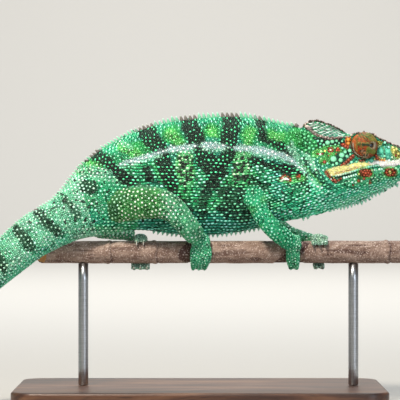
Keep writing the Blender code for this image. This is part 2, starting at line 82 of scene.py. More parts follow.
def newMaterial(name, shaderValues):
    material = bpy.data.materials.new(name)
    material.use_nodes = True
    tree = material.node_tree
    tree.nodes.clear()
    shader = addNode(tree, "ShaderNodeBsdfPrincipled", shaderValues)
    addNode(tree, "ShaderNodeOutputMaterial", {"Surface": shader.outputs[0]})
    return material, tree, shader


def toWorld(points):  # millimetres from the branch's axis to metres above the floor
    return (np.asarray(points, float) + (0, 0, axisHeight)) * mm


def fromWorld(points):
    return np.asarray(points, float) / mm - (0, 0, axisHeight)


def addPiece(name, points, faces, material, smooth=True):
    mesh = bpy.data.meshes.new(name)
    mesh.from_pydata(toWorld(points).tolist(), [], [list(map(int, face)) for face in faces])
    mesh.update()
    if smooth:
        mesh.shade_smooth()
    if material:
        mesh.materials.append(material)
    piece = bpy.data.objects.new(name, mesh)
    scene.collection.objects.link(piece)
    return piece


def setAttribute(mesh, name, kind, values, domain="POINT"):
    attribute = mesh.attributes.get(name) or mesh.attributes.new(name, kind, domain)
    field = {"FLOAT": "value", "FLOAT_VECTOR": "vector", "FLOAT_COLOR": "color"}[kind]
    attribute.data.foreach_set(field, np.asarray(values, np.float32).ravel())


def setTones(mesh, tones, name="tone"):
    setAttribute(mesh, name, "FLOAT_COLOR", np.hstack([tones, np.ones((len(tones), 1))]))


def setStops(ramp, stops):  # (place, colour) for each stop of a colour ramp
    for place, hexText in stops:
        ramp.elements.new(place).color = solid(hexText)
    ramp.elements.remove(ramp.elements[0])
    ramp.elements.remove(ramp.elements[-1])


def turnOutward(piece):
    shape = bmesh.new()
    shape.from_mesh(piece.data)
    bmesh.ops.recalc_face_normals(shape, faces=shape.faces)
    shape.to_mesh(piece.data)
    shape.free()
    piece.data.shade_smooth()


def circle(count):
    return np.linspace(0, 2 * math.pi, count, endpoint=False)


def ringFaces(first, rings, count, closed=True):  # the faces between rings of points, and both ends if closed
    faces = []
    for start in range(first, first + (rings - 1) * count, count):
        for number in range(count):
            a, b = start + number, start + (number + 1) % count
            faces.append((a, b, b + count, a + count))
    if closed:
        last = first + (rings - 1) * count
        faces += [tuple(range(first + count - 1, first - 1, -1)), tuple(range(last, last + count))]
    return faces


def readEach(items, field, width=3, kind=np.float32):  # one row for each item of a mesh
    values = np.empty(len(items) * width, kind)
    items.foreach_get(field, values)
    return values.reshape(-1, width)


def readPoints(mesh):
    return fromWorld(readEach(mesh.vertices, "co"))


def goneAlong(line):  # how far along the line each of its points is
    return np.concatenate([[0], np.cumsum(np.linalg.norm(np.diff(line, axis=0), axis=1))])


def unit(vectors):
    vectors = np.asarray(vectors, float)
    return vectors / np.maximum(np.linalg.norm(vectors, axis=-1, keepdims=True), 1e-9)


def easeIn(values):
    values = np.clip(values, 0, 1)
    return values * values * (3 - 2 * values)


def fog(points, size, seed=0):  # smooth noise from 0 to 1 with lumps of about that size
    grid = np.asarray(points, float) / size + seed * 17.37
    low = np.floor(grid).astype(np.int64)
    part = easeIn(grid - low)
    total = np.zeros(len(grid))
    for corner in np.ndindex(2, 2, 2):
        cell = low + corner
        mixed = (cell[:, 0] * 374761393 + cell[:, 1] * 668265263 + cell[:, 2] * 2147483647 + seed * 974711)
        mixed = (mixed ^ (mixed >> 13)) * 1274126177
        value = ((mixed ^ (mixed >> 16)) & 65535) / 65535
        weight = np.prod(np.where(np.array(corner), part, 1 - part), axis=1)
        total += value * weight
    return total


def smoothRow(rows, at):  # the smooth curve through the rows, read at row numbers with fractions
    rows = np.asarray(rows, float)
    at = np.atleast_1d(np.asarray(at, float))
    last = len(rows) - 1
    start = np.clip(np.floor(at).astype(int), 0, last - 1)
    part = (at - start)[:, None]
    here, there = rows[start], rows[start + 1]
    before = np.where((start > 0)[:, None], rows[np.maximum(start - 1, 0)], 2 * here - there)
    after = np.where((start + 2 <= last)[:, None], rows[np.minimum(start + 2, last)], 2 * there - here)
    return 0.5 * (2 * here + (there - before) * part + (2 * before - 5 * here + 4 * there - after) * part**2
                  + (3 * here - before - 3 * there + after) * part**3)


def strokeShare(x, z, knots, soft):  # 1 inside a stroke given as (x, z, half width) knots, 0 outside
    knots = [knots] if not isinstance(knots[0], (tuple, list)) else knots
    best = np.full(len(x), -1e9)
    pairs = list(zip(knots, knots[1:])) or [(knots[0], knots[0])]
    for (ax, az, aw), (bx, bz, bw) in pairs:
        dx, dz = bx - ax, bz - az
        share = np.clip(((x - ax) * dx + (z - az) * dz) / max(dx * dx + dz * dz, 1e-9), 0, 1)
        away = np.hypot(x - ax - dx * share, z - az - dz * share)
        best = np.maximum(best, (aw + (bw - aw) * share - away) / soft + 0.5)
    return np.clip(best, 0, 1)


# Camera, floor and lights

studio = {
    "lens": 195, "distance": 1300, "height": 123.2,
    "floor": "B4B1AB", "air": "DDE4EA", "airStrength": 0.4,
    "lamps": {  # place in mm, what it points at, size in mm, watts, colour
        "key": ((-260, -560, 820), (0, 0, 120), 150, 10.5, "FFF6E8"),
        "fill": ((900, -1300, 400), (0, 0, 120), 700, 6.0, "EAF2FF"),
        "top": ((250, 700, 1300), (0, 0, 120), 500, 7.5, "F4FAFF"),
        "backdrop": ((0, 1300, 2300), (0, 3600, 500), 1600, 125.0, "FFFFFF"),
    },
}


def makeStudio():
    camera = bpy.data.objects.new("camera", bpy.data.cameras.new("camera"))
    camera.location = (0, -studio["distance"] * mm, studio["height"] * mm)
    camera.rotation_euler = (math.pi / 2, 0, 0)
    camera.data.lens = studio["lens"]
    camera.data.sensor_width = 36
    camera.data.clip_start = 0.05
    scene.collection.objects.link(camera)
    scene.camera = camera
    for name, (place, aim, size, power, hue) in studio["lamps"].items():
        light = bpy.data.lights.new(name, "AREA")
        light.size = size * mm
        light.energy = power
        light.color = linearColour(hue)
        lamp = bpy.data.objects.new(name, light)
        lamp.location = Vector(place) * mm
        lamp.rotation_euler = (Vector(aim) * mm - lamp.location).to_track_quat("-Z", "Y").to_euler()
        scene.collection.objects.link(lamp)
    world = bpy.data.worlds.new("studio air")
    world.use_nodes = True
    air = world.node_tree.nodes["Background"]
    air.inputs["Color"].default_value = solid(studio["air"])
    air.inputs["Strength"].default_value = studio["airStrength"]
    scene.world = world
    paper, _, shader = newMaterial("matt studio paper", {"Roughness": 0.9})
    shader.inputs["Base Color"].default_value = solid(studio["floor"])
    wide, bend, sweep = 3000, 900, []  # the paper runs up behind the object in one curve
    for turn in np.linspace(0, math.pi / 2, 13):
        sweep.append((wide + bend * math.sin(turn), bend * (1 - math.cos(turn)) - axisHeight))
    sweep = [(-wide, -axisHeight), *sweep, (wide + bend, 3200)]
    points = [(x, y, z) for y, z in sweep for x in (-2 * wide, 2 * wide)]
    faces = [(at, at + 1, at + 3, at + 2) for at in range(0, len(points) - 2, 2)]
    addPiece("floor", points, faces, paper)


makeStudio()
scene.view_settings.view_transform = "Standard"
print("studio ready")


# The body's line, as in the solids: back (x, z), belly (x, z), half width, spine's y, keel

bodyLine = {
    "rows": (
        (60.5, 74.6, 68.0, 21.4, 12.3, 0.0, 1.20), (52.0, 76.2, 57.5, 19.4, 12.8, 0.0, 1.25),
        (42.0, 78.6, 45.5, 16.6, 13.8, 0.0, 1.30), (31.0, 80.6, 32.5, 13.6, 15.2, 0.0, 1.35),
        (18.0, 81.6, 18.5, 11.0, 16.2, 0.0, 1.35), (3.0, 80.8, 4.0, 9.9, 16.6, 0.0, 1.35),
        (-12.0, 79.2, -9.0, 9.9, 16.4, 0.0, 1.35), (-26.0, 76.4, -21.0, 11.2, 15.6, -0.4, 1.35),
        (-39.0, 72.2, -31.0, 12.6, 14.4, -1.2, 1.30), (-51.0, 66.4, -41.0, 12.8, 13.2, -2.2, 1.25),
        (-62.0, 59.6, -49.0, 11.4, 12.4, -3.6, 1.20), (-71.0, 51.6, -57.0, 9.8, 11.9, -5.5, 1.12),
        (-77.5, 43.6, -65.0, 8.8, 11.6, -7.5, 1.05), (-83.0, 36.4, -72.0, 7.4, 11.4, -9.5, 1.0),
        (-89.0, 30.6, -78.5, 4.8, 11.3, -11.8, 1.0), (-97.5, 25.4, -85.5, 1.6, 11.1, -15.0, 1.0),
        (-108.5, 17.8, -94.3, -3.3, 10.9, -18.6, 1.0), (-119.5, 7.0, -103.8, -10.6, 10.8, -22.2, 1.0)),
    "tailLength": 155.0, "tailRows": 26, "tailHeading": 223.0, "tailCurl": 0.15,
    "tailTip": 1.2, "tailSide": -27.5,
}


def tailRows():
    line = bodyLine
    backX, backZ, lowX, lowZ, _, firstSide, _ = line["rows"][-1]
    x, z = (backX + lowX) / 2, (backZ + lowZ) / 2
    firstRadius = math.hypot(backX - lowX, backZ - lowZ) / 2
    heading = math.radians(line["tailHeading"])
    fine = 20
    step = line["tailLength"] / line["tailRows"] / fine
    rows = []
    for row in range(line["tailRows"]):
        for part in range(fine):
            along = (row + (part + 0.5) / fine) / line["tailRows"]
            heading += line["tailCurl"] * (max(along - 0.1, 0) / 0.9) ** 1.6 * step
            x += math.cos(heading) * step
            z += math.sin(heading) * step
        left = 1 - (row + 1) / line["tailRows"]
        radius = line["tailTip"] + (firstRadius - line["tailTip"]) * left**1.3
        side = line["tailSide"] + (firstSide - line["tailSide"]) * left**2
        upX, upZ = math.sin(heading) * radius, -math.cos(heading) * radius
        rows.append((x + upX, z + upZ, x - upX, z - upZ, radius * 0.94, side, 1.0))
    return rows


bodyRows = np.array([*bodyLine["rows"], *tailRows()])


def bodyPlace(points):  # row number along the spine, then how far up and across, both 1 at the skin
    fine = 0.05
    places = np.arange(0, len(bodyRows) - 1 + fine / 2, fine)
    rows = smoothRow(bodyRows, places)
    centre = (rows[:, 0:2] + rows[:, 2:4]) / 2
    up = (rows[:, 0:2] - rows[:, 2:4]) / 2
    tall = np.linalg.norm(up, axis=1)
    up /= tall[:, None]
    along = np.stack([-up[:, 1], up[:, 0]], 1)  # toward the tail
    found = np.empty(len(points))
    for first in range(0, len(points), 8000):
        some = points[first:first + 8000]
        offset = some[:, None, [0, 2]] - centre
        axial = (offset * along).sum(2)
        high = (offset * up).sum(2) / tall
        across = (some[:, 1, None] - rows[:, 5]) / rows[:, 4]
        outside = np.maximum(np.hypot(high, across) - 1.3, 0) * tall * 2
        best = np.argmin(axial**2 + outside**2, axis=1)
        pick = np.arange(len(some))
        here = axial[pick, best]
        after = axial[pick, np.minimum(best + 1, len(places) - 1)]
        past = np.clip(here / np.maximum(here - after, 1e-6), -1, 1)
        found[first:first + 8000] = places[best] + fine * past
    found = np.clip(found, 0, len(bodyRows) - 1)
    rows = smoothRow(bodyRows, found)
    centre = (rows[:, 0:2] + rows[:, 2:4]) / 2
    up = (rows[:, 0:2] - rows[:, 2:4]) / 2
    high = ((points[:, [0, 2]] - centre) * up).sum(1) / (up**2).sum(1)
    across = (points[:, 1] - rows[:, 5]) / rows[:, 4]
    return found, high, across, rows


def ringReach(high, across, keel):  # how far out the ring lies in the direction of (across, high)
    turns = np.linspace(-math.pi / 2, math.pi / 2, 241)
    keels = np.linspace(1.0, 1.35, 8)
    angles = np.linspace(-math.pi / 2, math.pi / 2, 361)
    table = []
    for sharp in keels:
        out = np.cos(turns).clip(0) ** sharp
        rise = np.sin(turns) - 0.45 * (sharp - 1) * np.cos(turns) ** 2
        table.append(np.interp(angles, np.arctan2(rise, out), np.hypot(rise, out)))
    table = np.array(table)
    angle = np.arctan2(high, np.abs(across))
    column = (angle + math.pi / 2) / math.pi * 360
    low = np.clip(column.astype(int), 0, 359)
    part = column - low
    line = np.clip((keel - 1) / 0.35 * 7, 0, 7)
    under = np.clip(line.astype(int), 0, 6)
    share = line - under
    value = np.zeros(len(high))
    for step, weight in ((0, 1 - share), (1, share)):
        row = table[under + step, low] * (1 - part) + table[under + step, low + 1] * part
        value += row * weight
    return value


# The feet, as in the solids: x, palm's turn, then each half's first and last turn, toes and radius

feet = {
    "hindfoot_right": (0.6, 1, {"outer": (72, 172, 3, 2.65), "inner": (30, -62, 2, 1.9)}),
    "hindfoot_left": (-35.8, -1, {"outer": (66, 184, 3, 2.4), "inner": (24, -46, 2, 2.1)}),
    "forefoot_right": (55.4, 1, {"outer": (80, 170, 2, 2.55), "inner": (40, -52, 3, 1.85)}),
    "forefoot_left": (71.4, -1, {"outer": (66, 184, 2, 2.2), "inner": (22, -60, 3, 1.9)}),
}
perchRadius, toeCrowding = 6.7, 1.54


def around(turn, away, x):
    angle = math.radians(turn)
    return np.array((x, -math.sin(angle) * away, math.cos(angle) * away))


footTaper = {  # how much narrower the outer half gets, and how far aside of the foot's middle
    "hindfoot_right": (0.3, -4.5), "forefoot_right": (0.26, 2.5), "hindfoot_left": (0.12, 0),
    "forefoot_left": (0.1, 0),
}


def taperShare(name, turn):  # how much narrower the outer half is toward its toes' ends
    start, end, _, _ = feet[name][2]["outer"]
    late = (np.asarray(turn) * feet[name][1] - start - 25) / (end - start - 25)
    return 1 - footTaper[name][0] * easeIn(late)


def toeEnds():  # for every toe: its end, the way the claw leaves it, the way out from the branch, its radius
    ends = []
    for name, (x, side, halves) in feet.items():
        for start, end, count, radius in halves.values():
            for number in range(count):
                place = number - (count - 1) / 2
                along = place * toeCrowding * radius + place * 0.8
                if abs(end) > 120:  # an outer toe
                    aside = footTaper[name][1]
                    along = aside + (along - aside) * float(taperShare(name, end * side))
                along += x
                away = perchRadius + 0.3 + radius
                sign = math.copysign(1, end - start)
                tip = around(end * side, away, along)
                out = unit(around(end * side, 1, 0))
                on = unit(around((end + sign) * side, 1, 0) - around(end * side, 1, 0))
                ends.append((name, tip, on, out, radius))
    return ends


# Skin: the solids of flesh made into one surface, smoothed, and drawn in by the coat's depth

skinLook = {
    "cell": 0.85, "swell": 0.2, "depth": 0.42, "rounds": 38,
    "softness": {  # share of the smoothing that each part takes
        "trunk": 0.35, "neck": 0.35, "tail_base": 0.3, "tail_middle": 0.25, "tail_coil": 0.15,
        "tail_tip": 0.1, "head": 0.1, "lower_jaw": 0.15, "foreleg": 0.5, "hindleg": 0.5, "forefoot": 0.25,
        "hindfoot": 0.25,
    },
    "creases": (  # (x, z, half width) knots, and how deep
        (((54.0, 64.5, 0.9), (57.5, 58.5, 1.0), (60.5, 52.5, 1.0), (64.0, 46.0, 0.9), (68.5, 40.0, 0.8)),
         0.9),
        (((60.0, 58.5, 0.7), (62.5, 55.0, 0.8), (65.6, 52.6, 0.6)), 0.6),
        (((36.5, 29.4, 0.9), (42.0, 30.2, 1.1), (48.5, 29.6, 0.8)), 0.8),
        (((66.0, 46.0, 1.0), (70.5, 40.5, 1.2), (76.0, 36.5, 0.9)), 0.6),
        (((26.0, 46.0, 0.9), (34.0, 41.0, 1.0), (41.0, 38.5, 0.8)), 0.5),
        (((-24.0, 44.0, 0.8), (-17.0, 38.5, 0.9), (-12.5, 33.0, 0.8)), 0.7),
        (((49.0, 24.0, 0.7), (58.0, 27.5, 0.8), (68.0, 31.0, 0.7)), 0.4),
        (((50.0, 20.5, 0.7), (60.0, 24.5, 0.8), (70.0, 28.0, 0.7)), 0.3),
        (((-58.0, 22.5, 0.8), (-50.0, 21.0, 0.9), (-42.0, 21.5, 0.7)), 0.4),
    ),
    "mouth": ((129.5, 51.7, 0.5), (116.0, 51.3, 0.5), (106.0, 50.6, 0.5), (98.0, 49.2, 0.5),
              (90.0, 46.8, 0.5), (84.0, 45.2, 0.5), (78.0, 43.8, 0.6)),
    "mouthDepth": 0.7,
}
eyeSeat = {"centre": (97.8, 9.6, 63.6), "gaze": (0.51, 0.86, 0.0), "eyeRadius": 2.6, "eyeDepth": 5.35}
ridgeLine = (  # from the back of the casque over the brow to the snout, as x, distance from the middle, z
    (63.0, 1.0, 76.6), (65.2, 3.6, 73.9), (69.4, 6.2, 70.2), (75.4, 8.7, 68.3), (82.1, 9.8, 68.2),
    (87.6, 9.8, 70.2), (93.0, 9.2, 71.8), (99.0, 8.4, 72.0), (104.0, 7.6, 70.2), (110.0, 6.8, 67.0),
    (116.0, 5.9, 64.5), (121.4, 4.7, 62.0), (126.0, 3.1, 59.2), (128.7, 1.4, 57.0))
crownLine = ((61.6, 0.0, 75.6), (66.0, 0.0, 78.6), (70.0, 0.0, 79.2), (75.0, 0.0, 77.8), (81.0, 0.0, 75.2),
             (87.0, 0.0, 71.9))


def walk(line, step):  # points at even steps along a smooth line
    dense = smoothRow(line, np.linspace(0, len(line) - 1, 400))
    gone = goneAlong(dense)
    due = np.arange(0, gone[-1], step)
    return np.stack([np.interp(due, gone, dense[:, k]) for k in range(dense.shape[1])], 1)


def remeshFlesh():
    joined = bmesh.new()
    for name in fleshNames:
        part = bmesh.new()
        part.from_mesh(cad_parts[name].data)
        bmesh.ops.remove_doubles(part, verts=part.verts, dist=0.002 * mm)
        part.normal_update()
        for vert in part.verts:
            vert.co += vert.normal * skinLook["swell"] * mm
        mesh = bpy.data.meshes.new(name)
        part.to_mesh(mesh)
        part.free()
        joined.from_mesh(mesh)
        bpy.data.meshes.remove(mesh)
    mesh = bpy.data.meshes.new("flesh")
    joined.to_mesh(mesh)
    joined.free()
    flesh = bpy.data.objects.new("flesh", mesh)
    scene.collection.objects.link(flesh)
    cells = flesh.modifiers.new("cells", "REMESH")
    cells.mode = "VOXEL"
    cells.voxel_size = skinLook["cell"] * mm
    bpy.context.view_layer.update()
    made = bpy.data.meshes.new_from_object(flesh.evaluated_get(bpy.context.evaluated_depsgraph_get()))
    bpy.data.objects.remove(flesh)
    return made


def nodeLabels(points):  # which flesh node each point is nearest to
    corners, faces, owners = [], [], []
    for number, name in enumerate(fleshNames):
        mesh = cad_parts[name].data
        base = len(corners)
        corners.extend(vert.co.copy() for vert in mesh.vertices)
        for face in mesh.polygons:
            faces.append([base + corner for corner in face.vertices])
            owners.append(number)
    tree = BVHTree.FromPolygons(corners, faces)
    return np.array([owners[tree.find_nearest(Vector(p))[2]] for p in toWorld(points)])


def partsNamed(labels, *starts):
    wanted = [number for number, name in enumerate(fleshNames) if name.startswith(starts)]
    return np.isin(labels, wanted)


skin = bpy.data.objects.new("skin", remeshFlesh())
scene.collection.objects.link(skin)
skinMesh = skin.data
skinPoints = readPoints(skinMesh)
labels = nodeLabels(skinPoints)
edges = readEach(skinMesh.edges, "vertices", 2, np.int32)
edgeFrom = np.concatenate([edges[:, 0], edges[:, 1]])
edgeTo = np.concatenate([edges[:, 1], edges[:, 0]])
degree = np.bincount(edgeFrom, minlength=len(skinPoints)).clip(1)


def neighbourMean(values):
    flat = values.reshape(len(values), -1)
    total = [np.bincount(edgeFrom, flat[edgeTo, k], len(flat)) / degree for k in range(flat.shape[1])]
    return np.stack(total, 1).reshape(values.shape)


def spread(values, rounds, share=0.5):
    for _ in range(rounds):
        values = values + (neighbourMean(values) - values) * share
    return values


def skinNormals(points):
    skinMesh.vertices.foreach_set("co", toWorld(points).astype(np.float32).ravel())
    skinMesh.update()
    return readEach(skinMesh.vertices, "normal").astype(float)


def shapeSkin():
    points = skinPoints.copy()
    share = np.zeros(len(points))
    for start, value in skinLook["softness"].items():
        share[partsNamed(labels, start)] = value
    share = spread(share, 12)[:, None]
    for _, tip, on, _, radius in toeEnds():  # the claws are pieces of their own
        offset = points - tip
        ahead = offset @ on
        beside = np.linalg.norm(offset - ahead[:, None] * on, axis=1)
        claw = (ahead > 0.5 * radius) & (ahead < 5) & (beside < 2.2) & partsNamed(labels, "fore", "hindfoot")
        points[claw] = tip + unit(offset[claw]) * radius * 0.85
    for name, (x, _, _) in feet.items():
        own = partsNamed(labels, name + "_outer")
        turn = np.degrees(np.arctan2(-points[own, 1], points[own, 2]))
        pivot = x + footTaper[name][1]
        points[own, 0] = pivot + (points[own, 0] - pivot) * taperShare(name, turn)
    at, high, across, rows = bodyPlace(points)
    reach = ringReach(high, across, rows[:, 6])
    size = np.hypot(high, across)
    centre = np.stack([(rows[:, 0] + rows[:, 2]) / 2, rows[:, 5], (rows[:, 1] + rows[:, 3]) / 2], 1)
    fitted = centre + (points - centre) * (reach / size.clip(0.05))[:, None]
    # The in-plane part moves only: what lies along the spine stays.
    onBody = partsNamed(labels, "trunk", "neck", "tail").astype(float)
    onBody = easeIn((spread(onBody, 14) - 0.5) / 0.45)
    onBody *= easeIn((at - 0.1) / 1.2) * (np.abs(reach - size) < 0.45)
    onBody = spread(onBody, 3)[:, None]
    points = points + (fitted - points) * onBody
    share = share * (1 - 0.85 * onBody)
    for _ in range(skinLook["rounds"]):  # a step in and most of it out again, so thin parts keep their size
        points = points + (neighbourMean(points) - points) * share
        points = points - (neighbourMean(points) - points) * share * 0.85
    normals = skinNormals(points)
    x, z = points[:, 0], points[:, 2]
    sideways = easeIn(np.abs(normals[:, 1]) * 1.6)
    trunkLike = ~partsNamed(labels, "fore", "hind")
    for knots, depth in skinLook["creases"]:
        width = strokeShare(x, z, knots, 1.6)
        bank = strokeShare(x, z, [(kx, kz, kw + 1.6) for kx, kz, kw in knots], 2.2) - width
        points = points + normals * ((0.45 * depth * bank - depth * width) * sideways * trunkLike)[:, None]
    mouth = strokeShare(x, z, skinLook["mouth"], 0.9) * sideways * partsNamed(labels, "head", "lower_jaw")
    points = points - normals * (mouth * skinLook["mouthDepth"])[:, None]
    for line, lift, wide in ((ridgeLine, 0.75, 1.0), (crownLine, 0.8, 0.9)):
        for knot in walk(line, 0.5):
            for side in ((-1, 1) if knot[1] else (1,)):
                near = np.linalg.norm(points - knot * (1, side, 1), axis=1)
                close = near < 3.2
                bump = np.exp(-(near[close] / wide) ** 2) * lift * 0.35
                points[close] += normals[close] * bump[:, None]
    eye = np.array(eyeSeat["centre"])
    for side in (-1, 1):  # a soft fold of skin round each turret
        offset = points - eye * (1, side, 1)
        away = np.linalg.norm(offset, axis=1)
        fold = np.exp(-((away - 9.0) / 0.9) ** 2) * partsNamed(labels, "head")
        points = points + normals * (0.5 * fold)[:, None]
        close = (away < 9.2) & partsNamed(labels, "head")
        points[close] -= unit(offset[close]) * (np.clip(away[close] - 8.0, 0, 1.2) * 0.5)[:, None]
    points = spread(points, 2, 0.3)
    normals = skinNormals(points)
    depth = np.full(len(points), skinLook["depth"] + skinLook["swell"])
    depth[partsNamed(labels, "forefoot", "hindfoot")] *= 0.55
    depth[partsNamed(labels, "head", "lower_jaw")] *= 0.75
    # The body was fitted to its own line, which holds no swelling.
    depth = spread(depth, 6) - skinLook["swell"] * onBody[:, 0]
    points = points - normals * depth[:, None]
    return points, skinNormals(points)


skinPoints, skinNormal = shapeSkin()
print("skin shaped:", len(skinPoints), "points")


# The skin's own unwrap, and how to read the skin at any place

def unwrapSkin():
    skinMesh.uv_layers.new(name="OFBake")
    bpy.context.view_layer.objects.active = skin
    skin.select_set(True)
    bpy.ops.object.mode_set(mode="EDIT")
    bpy.ops.mesh.select_all(action="SELECT")
    bpy.ops.uv.smart_project(angle_limit=math.radians(70), island_margin=0.002, margin_method="FRACTION")
    bpy.ops.object.mode_set(mode="OBJECT")
    skin.select_set(False)


unwrapSkin()
skinMesh = skin.data
skinMesh.calc_loop_triangles()
triangles, triangleLoops = (
    readEach(skinMesh.loop_triangles, field, kind=np.int32) for field in ("vertices", "loops"))
skinMap = readEach(skinMesh.uv_layers["OFBake"].data, "uv", 2)
skinMap = np.hstack([skinMap, np.zeros((len(skinMesh.loops), 1))])
skinTree = BVHTree.FromPolygons(skinPoints.tolist(), triangles.tolist())
skinFaceParts = labels[triangles[:, 0]]
print("skin unwrapped:", len(triangles), "triangles")


def dropOn(points):  # the nearest places on the skin, and their triangles
    hits = [skinTree.find_nearest(Vector(point)) for point in np.asarray(points).tolist()]
    return np.array([hit[0][:] for hit in hits]), np.array([hit[2] for hit in hits])


def cornerShares(place, face):
    a, b, c = (skinPoints[triangles[face, k]] for k in range(3))
    across = np.cross(b - a, c - a)
    total = np.maximum((across**2).sum(1), 1e-12)
    second = (np.cross(place - a, c - a) * across).sum(1) / total
    third = (np.cross(b - a, place - a) * across).sum(1) / total
    return np.stack([1 - second - third, second, third], 1)


def readSkin(place, face, values):  # a value of the skin's points, between them
    shares = cornerShares(place, face)
    values = values.reshape(len(values), -1)
    return (values[triangles[face]] * shares[:, :, None]).sum(1)


def rootMap(place, face):
    return (skinMap[triangleLoops[face]] * cornerShares(place, face)[:, :, None]).sum(1)


def fromSide(x, z, side):  # where a line from the side first meets the skin
    hit = skinTree.ray_cast(Vector((x, 60 * side, z)), Vector((0, -side, 0)))
    return hit[0] and (np.array(hit[0]), hit[2])


# Markings, shared by the skin and its scales. Every hue is a pair: the small scales, the big ones.

hues = {
    "ground": ("2AA46E", "A4F6CE"), "mint": ("2EBE84", "A8F8D4"), "leaf": ("22A04A", "66DC88"),
    "lime": ("5ECB62", "A6F09C"), "teal": ("1E927A", "7CE0C4"), "belly": ("1E8C74", "88EACE"),
    "dark": ("06130D", "4CD894"), "black": ("060A08", "0C1A14"), "moss": ("0E3A26", "74DCA8"),
    "white": ("A4CBC6", "F8FAFB"), "chalk": ("8ADDB4", "DCFAEA"), "olive": ("46984A", "E8FCE0"),
    "pale": ("70CC9A", "F0FFF4"), "sea": ("8AD6B0", "D2F4E0"), "fern": ("17492F", "B4ECCC"),
    "grey": ("8FB8A0", "D0E8D6"), "cyan": ("5CC8AC", "9CE6D4"),
    "rust": ("6A1E0A", "9C3812"), "red": ("8A200A", "B44216"), "orange": ("C86414", "E8952E"),
    "yellow": ("F4EC9A", "FFFBD0"), "cream": ("F6F6E6", "FFFFFF"), "bark": ("7C625A", "D2C0B6"),
    "brown": ("3A1C12", "7A4630"), "gold": ("B8B040", "E6DC78"), "throat": ("40D29E", "B0FCE0"),
}
hues = {name: tuple(linearColour(text) for text in pair) for name, pair in hues.items()}

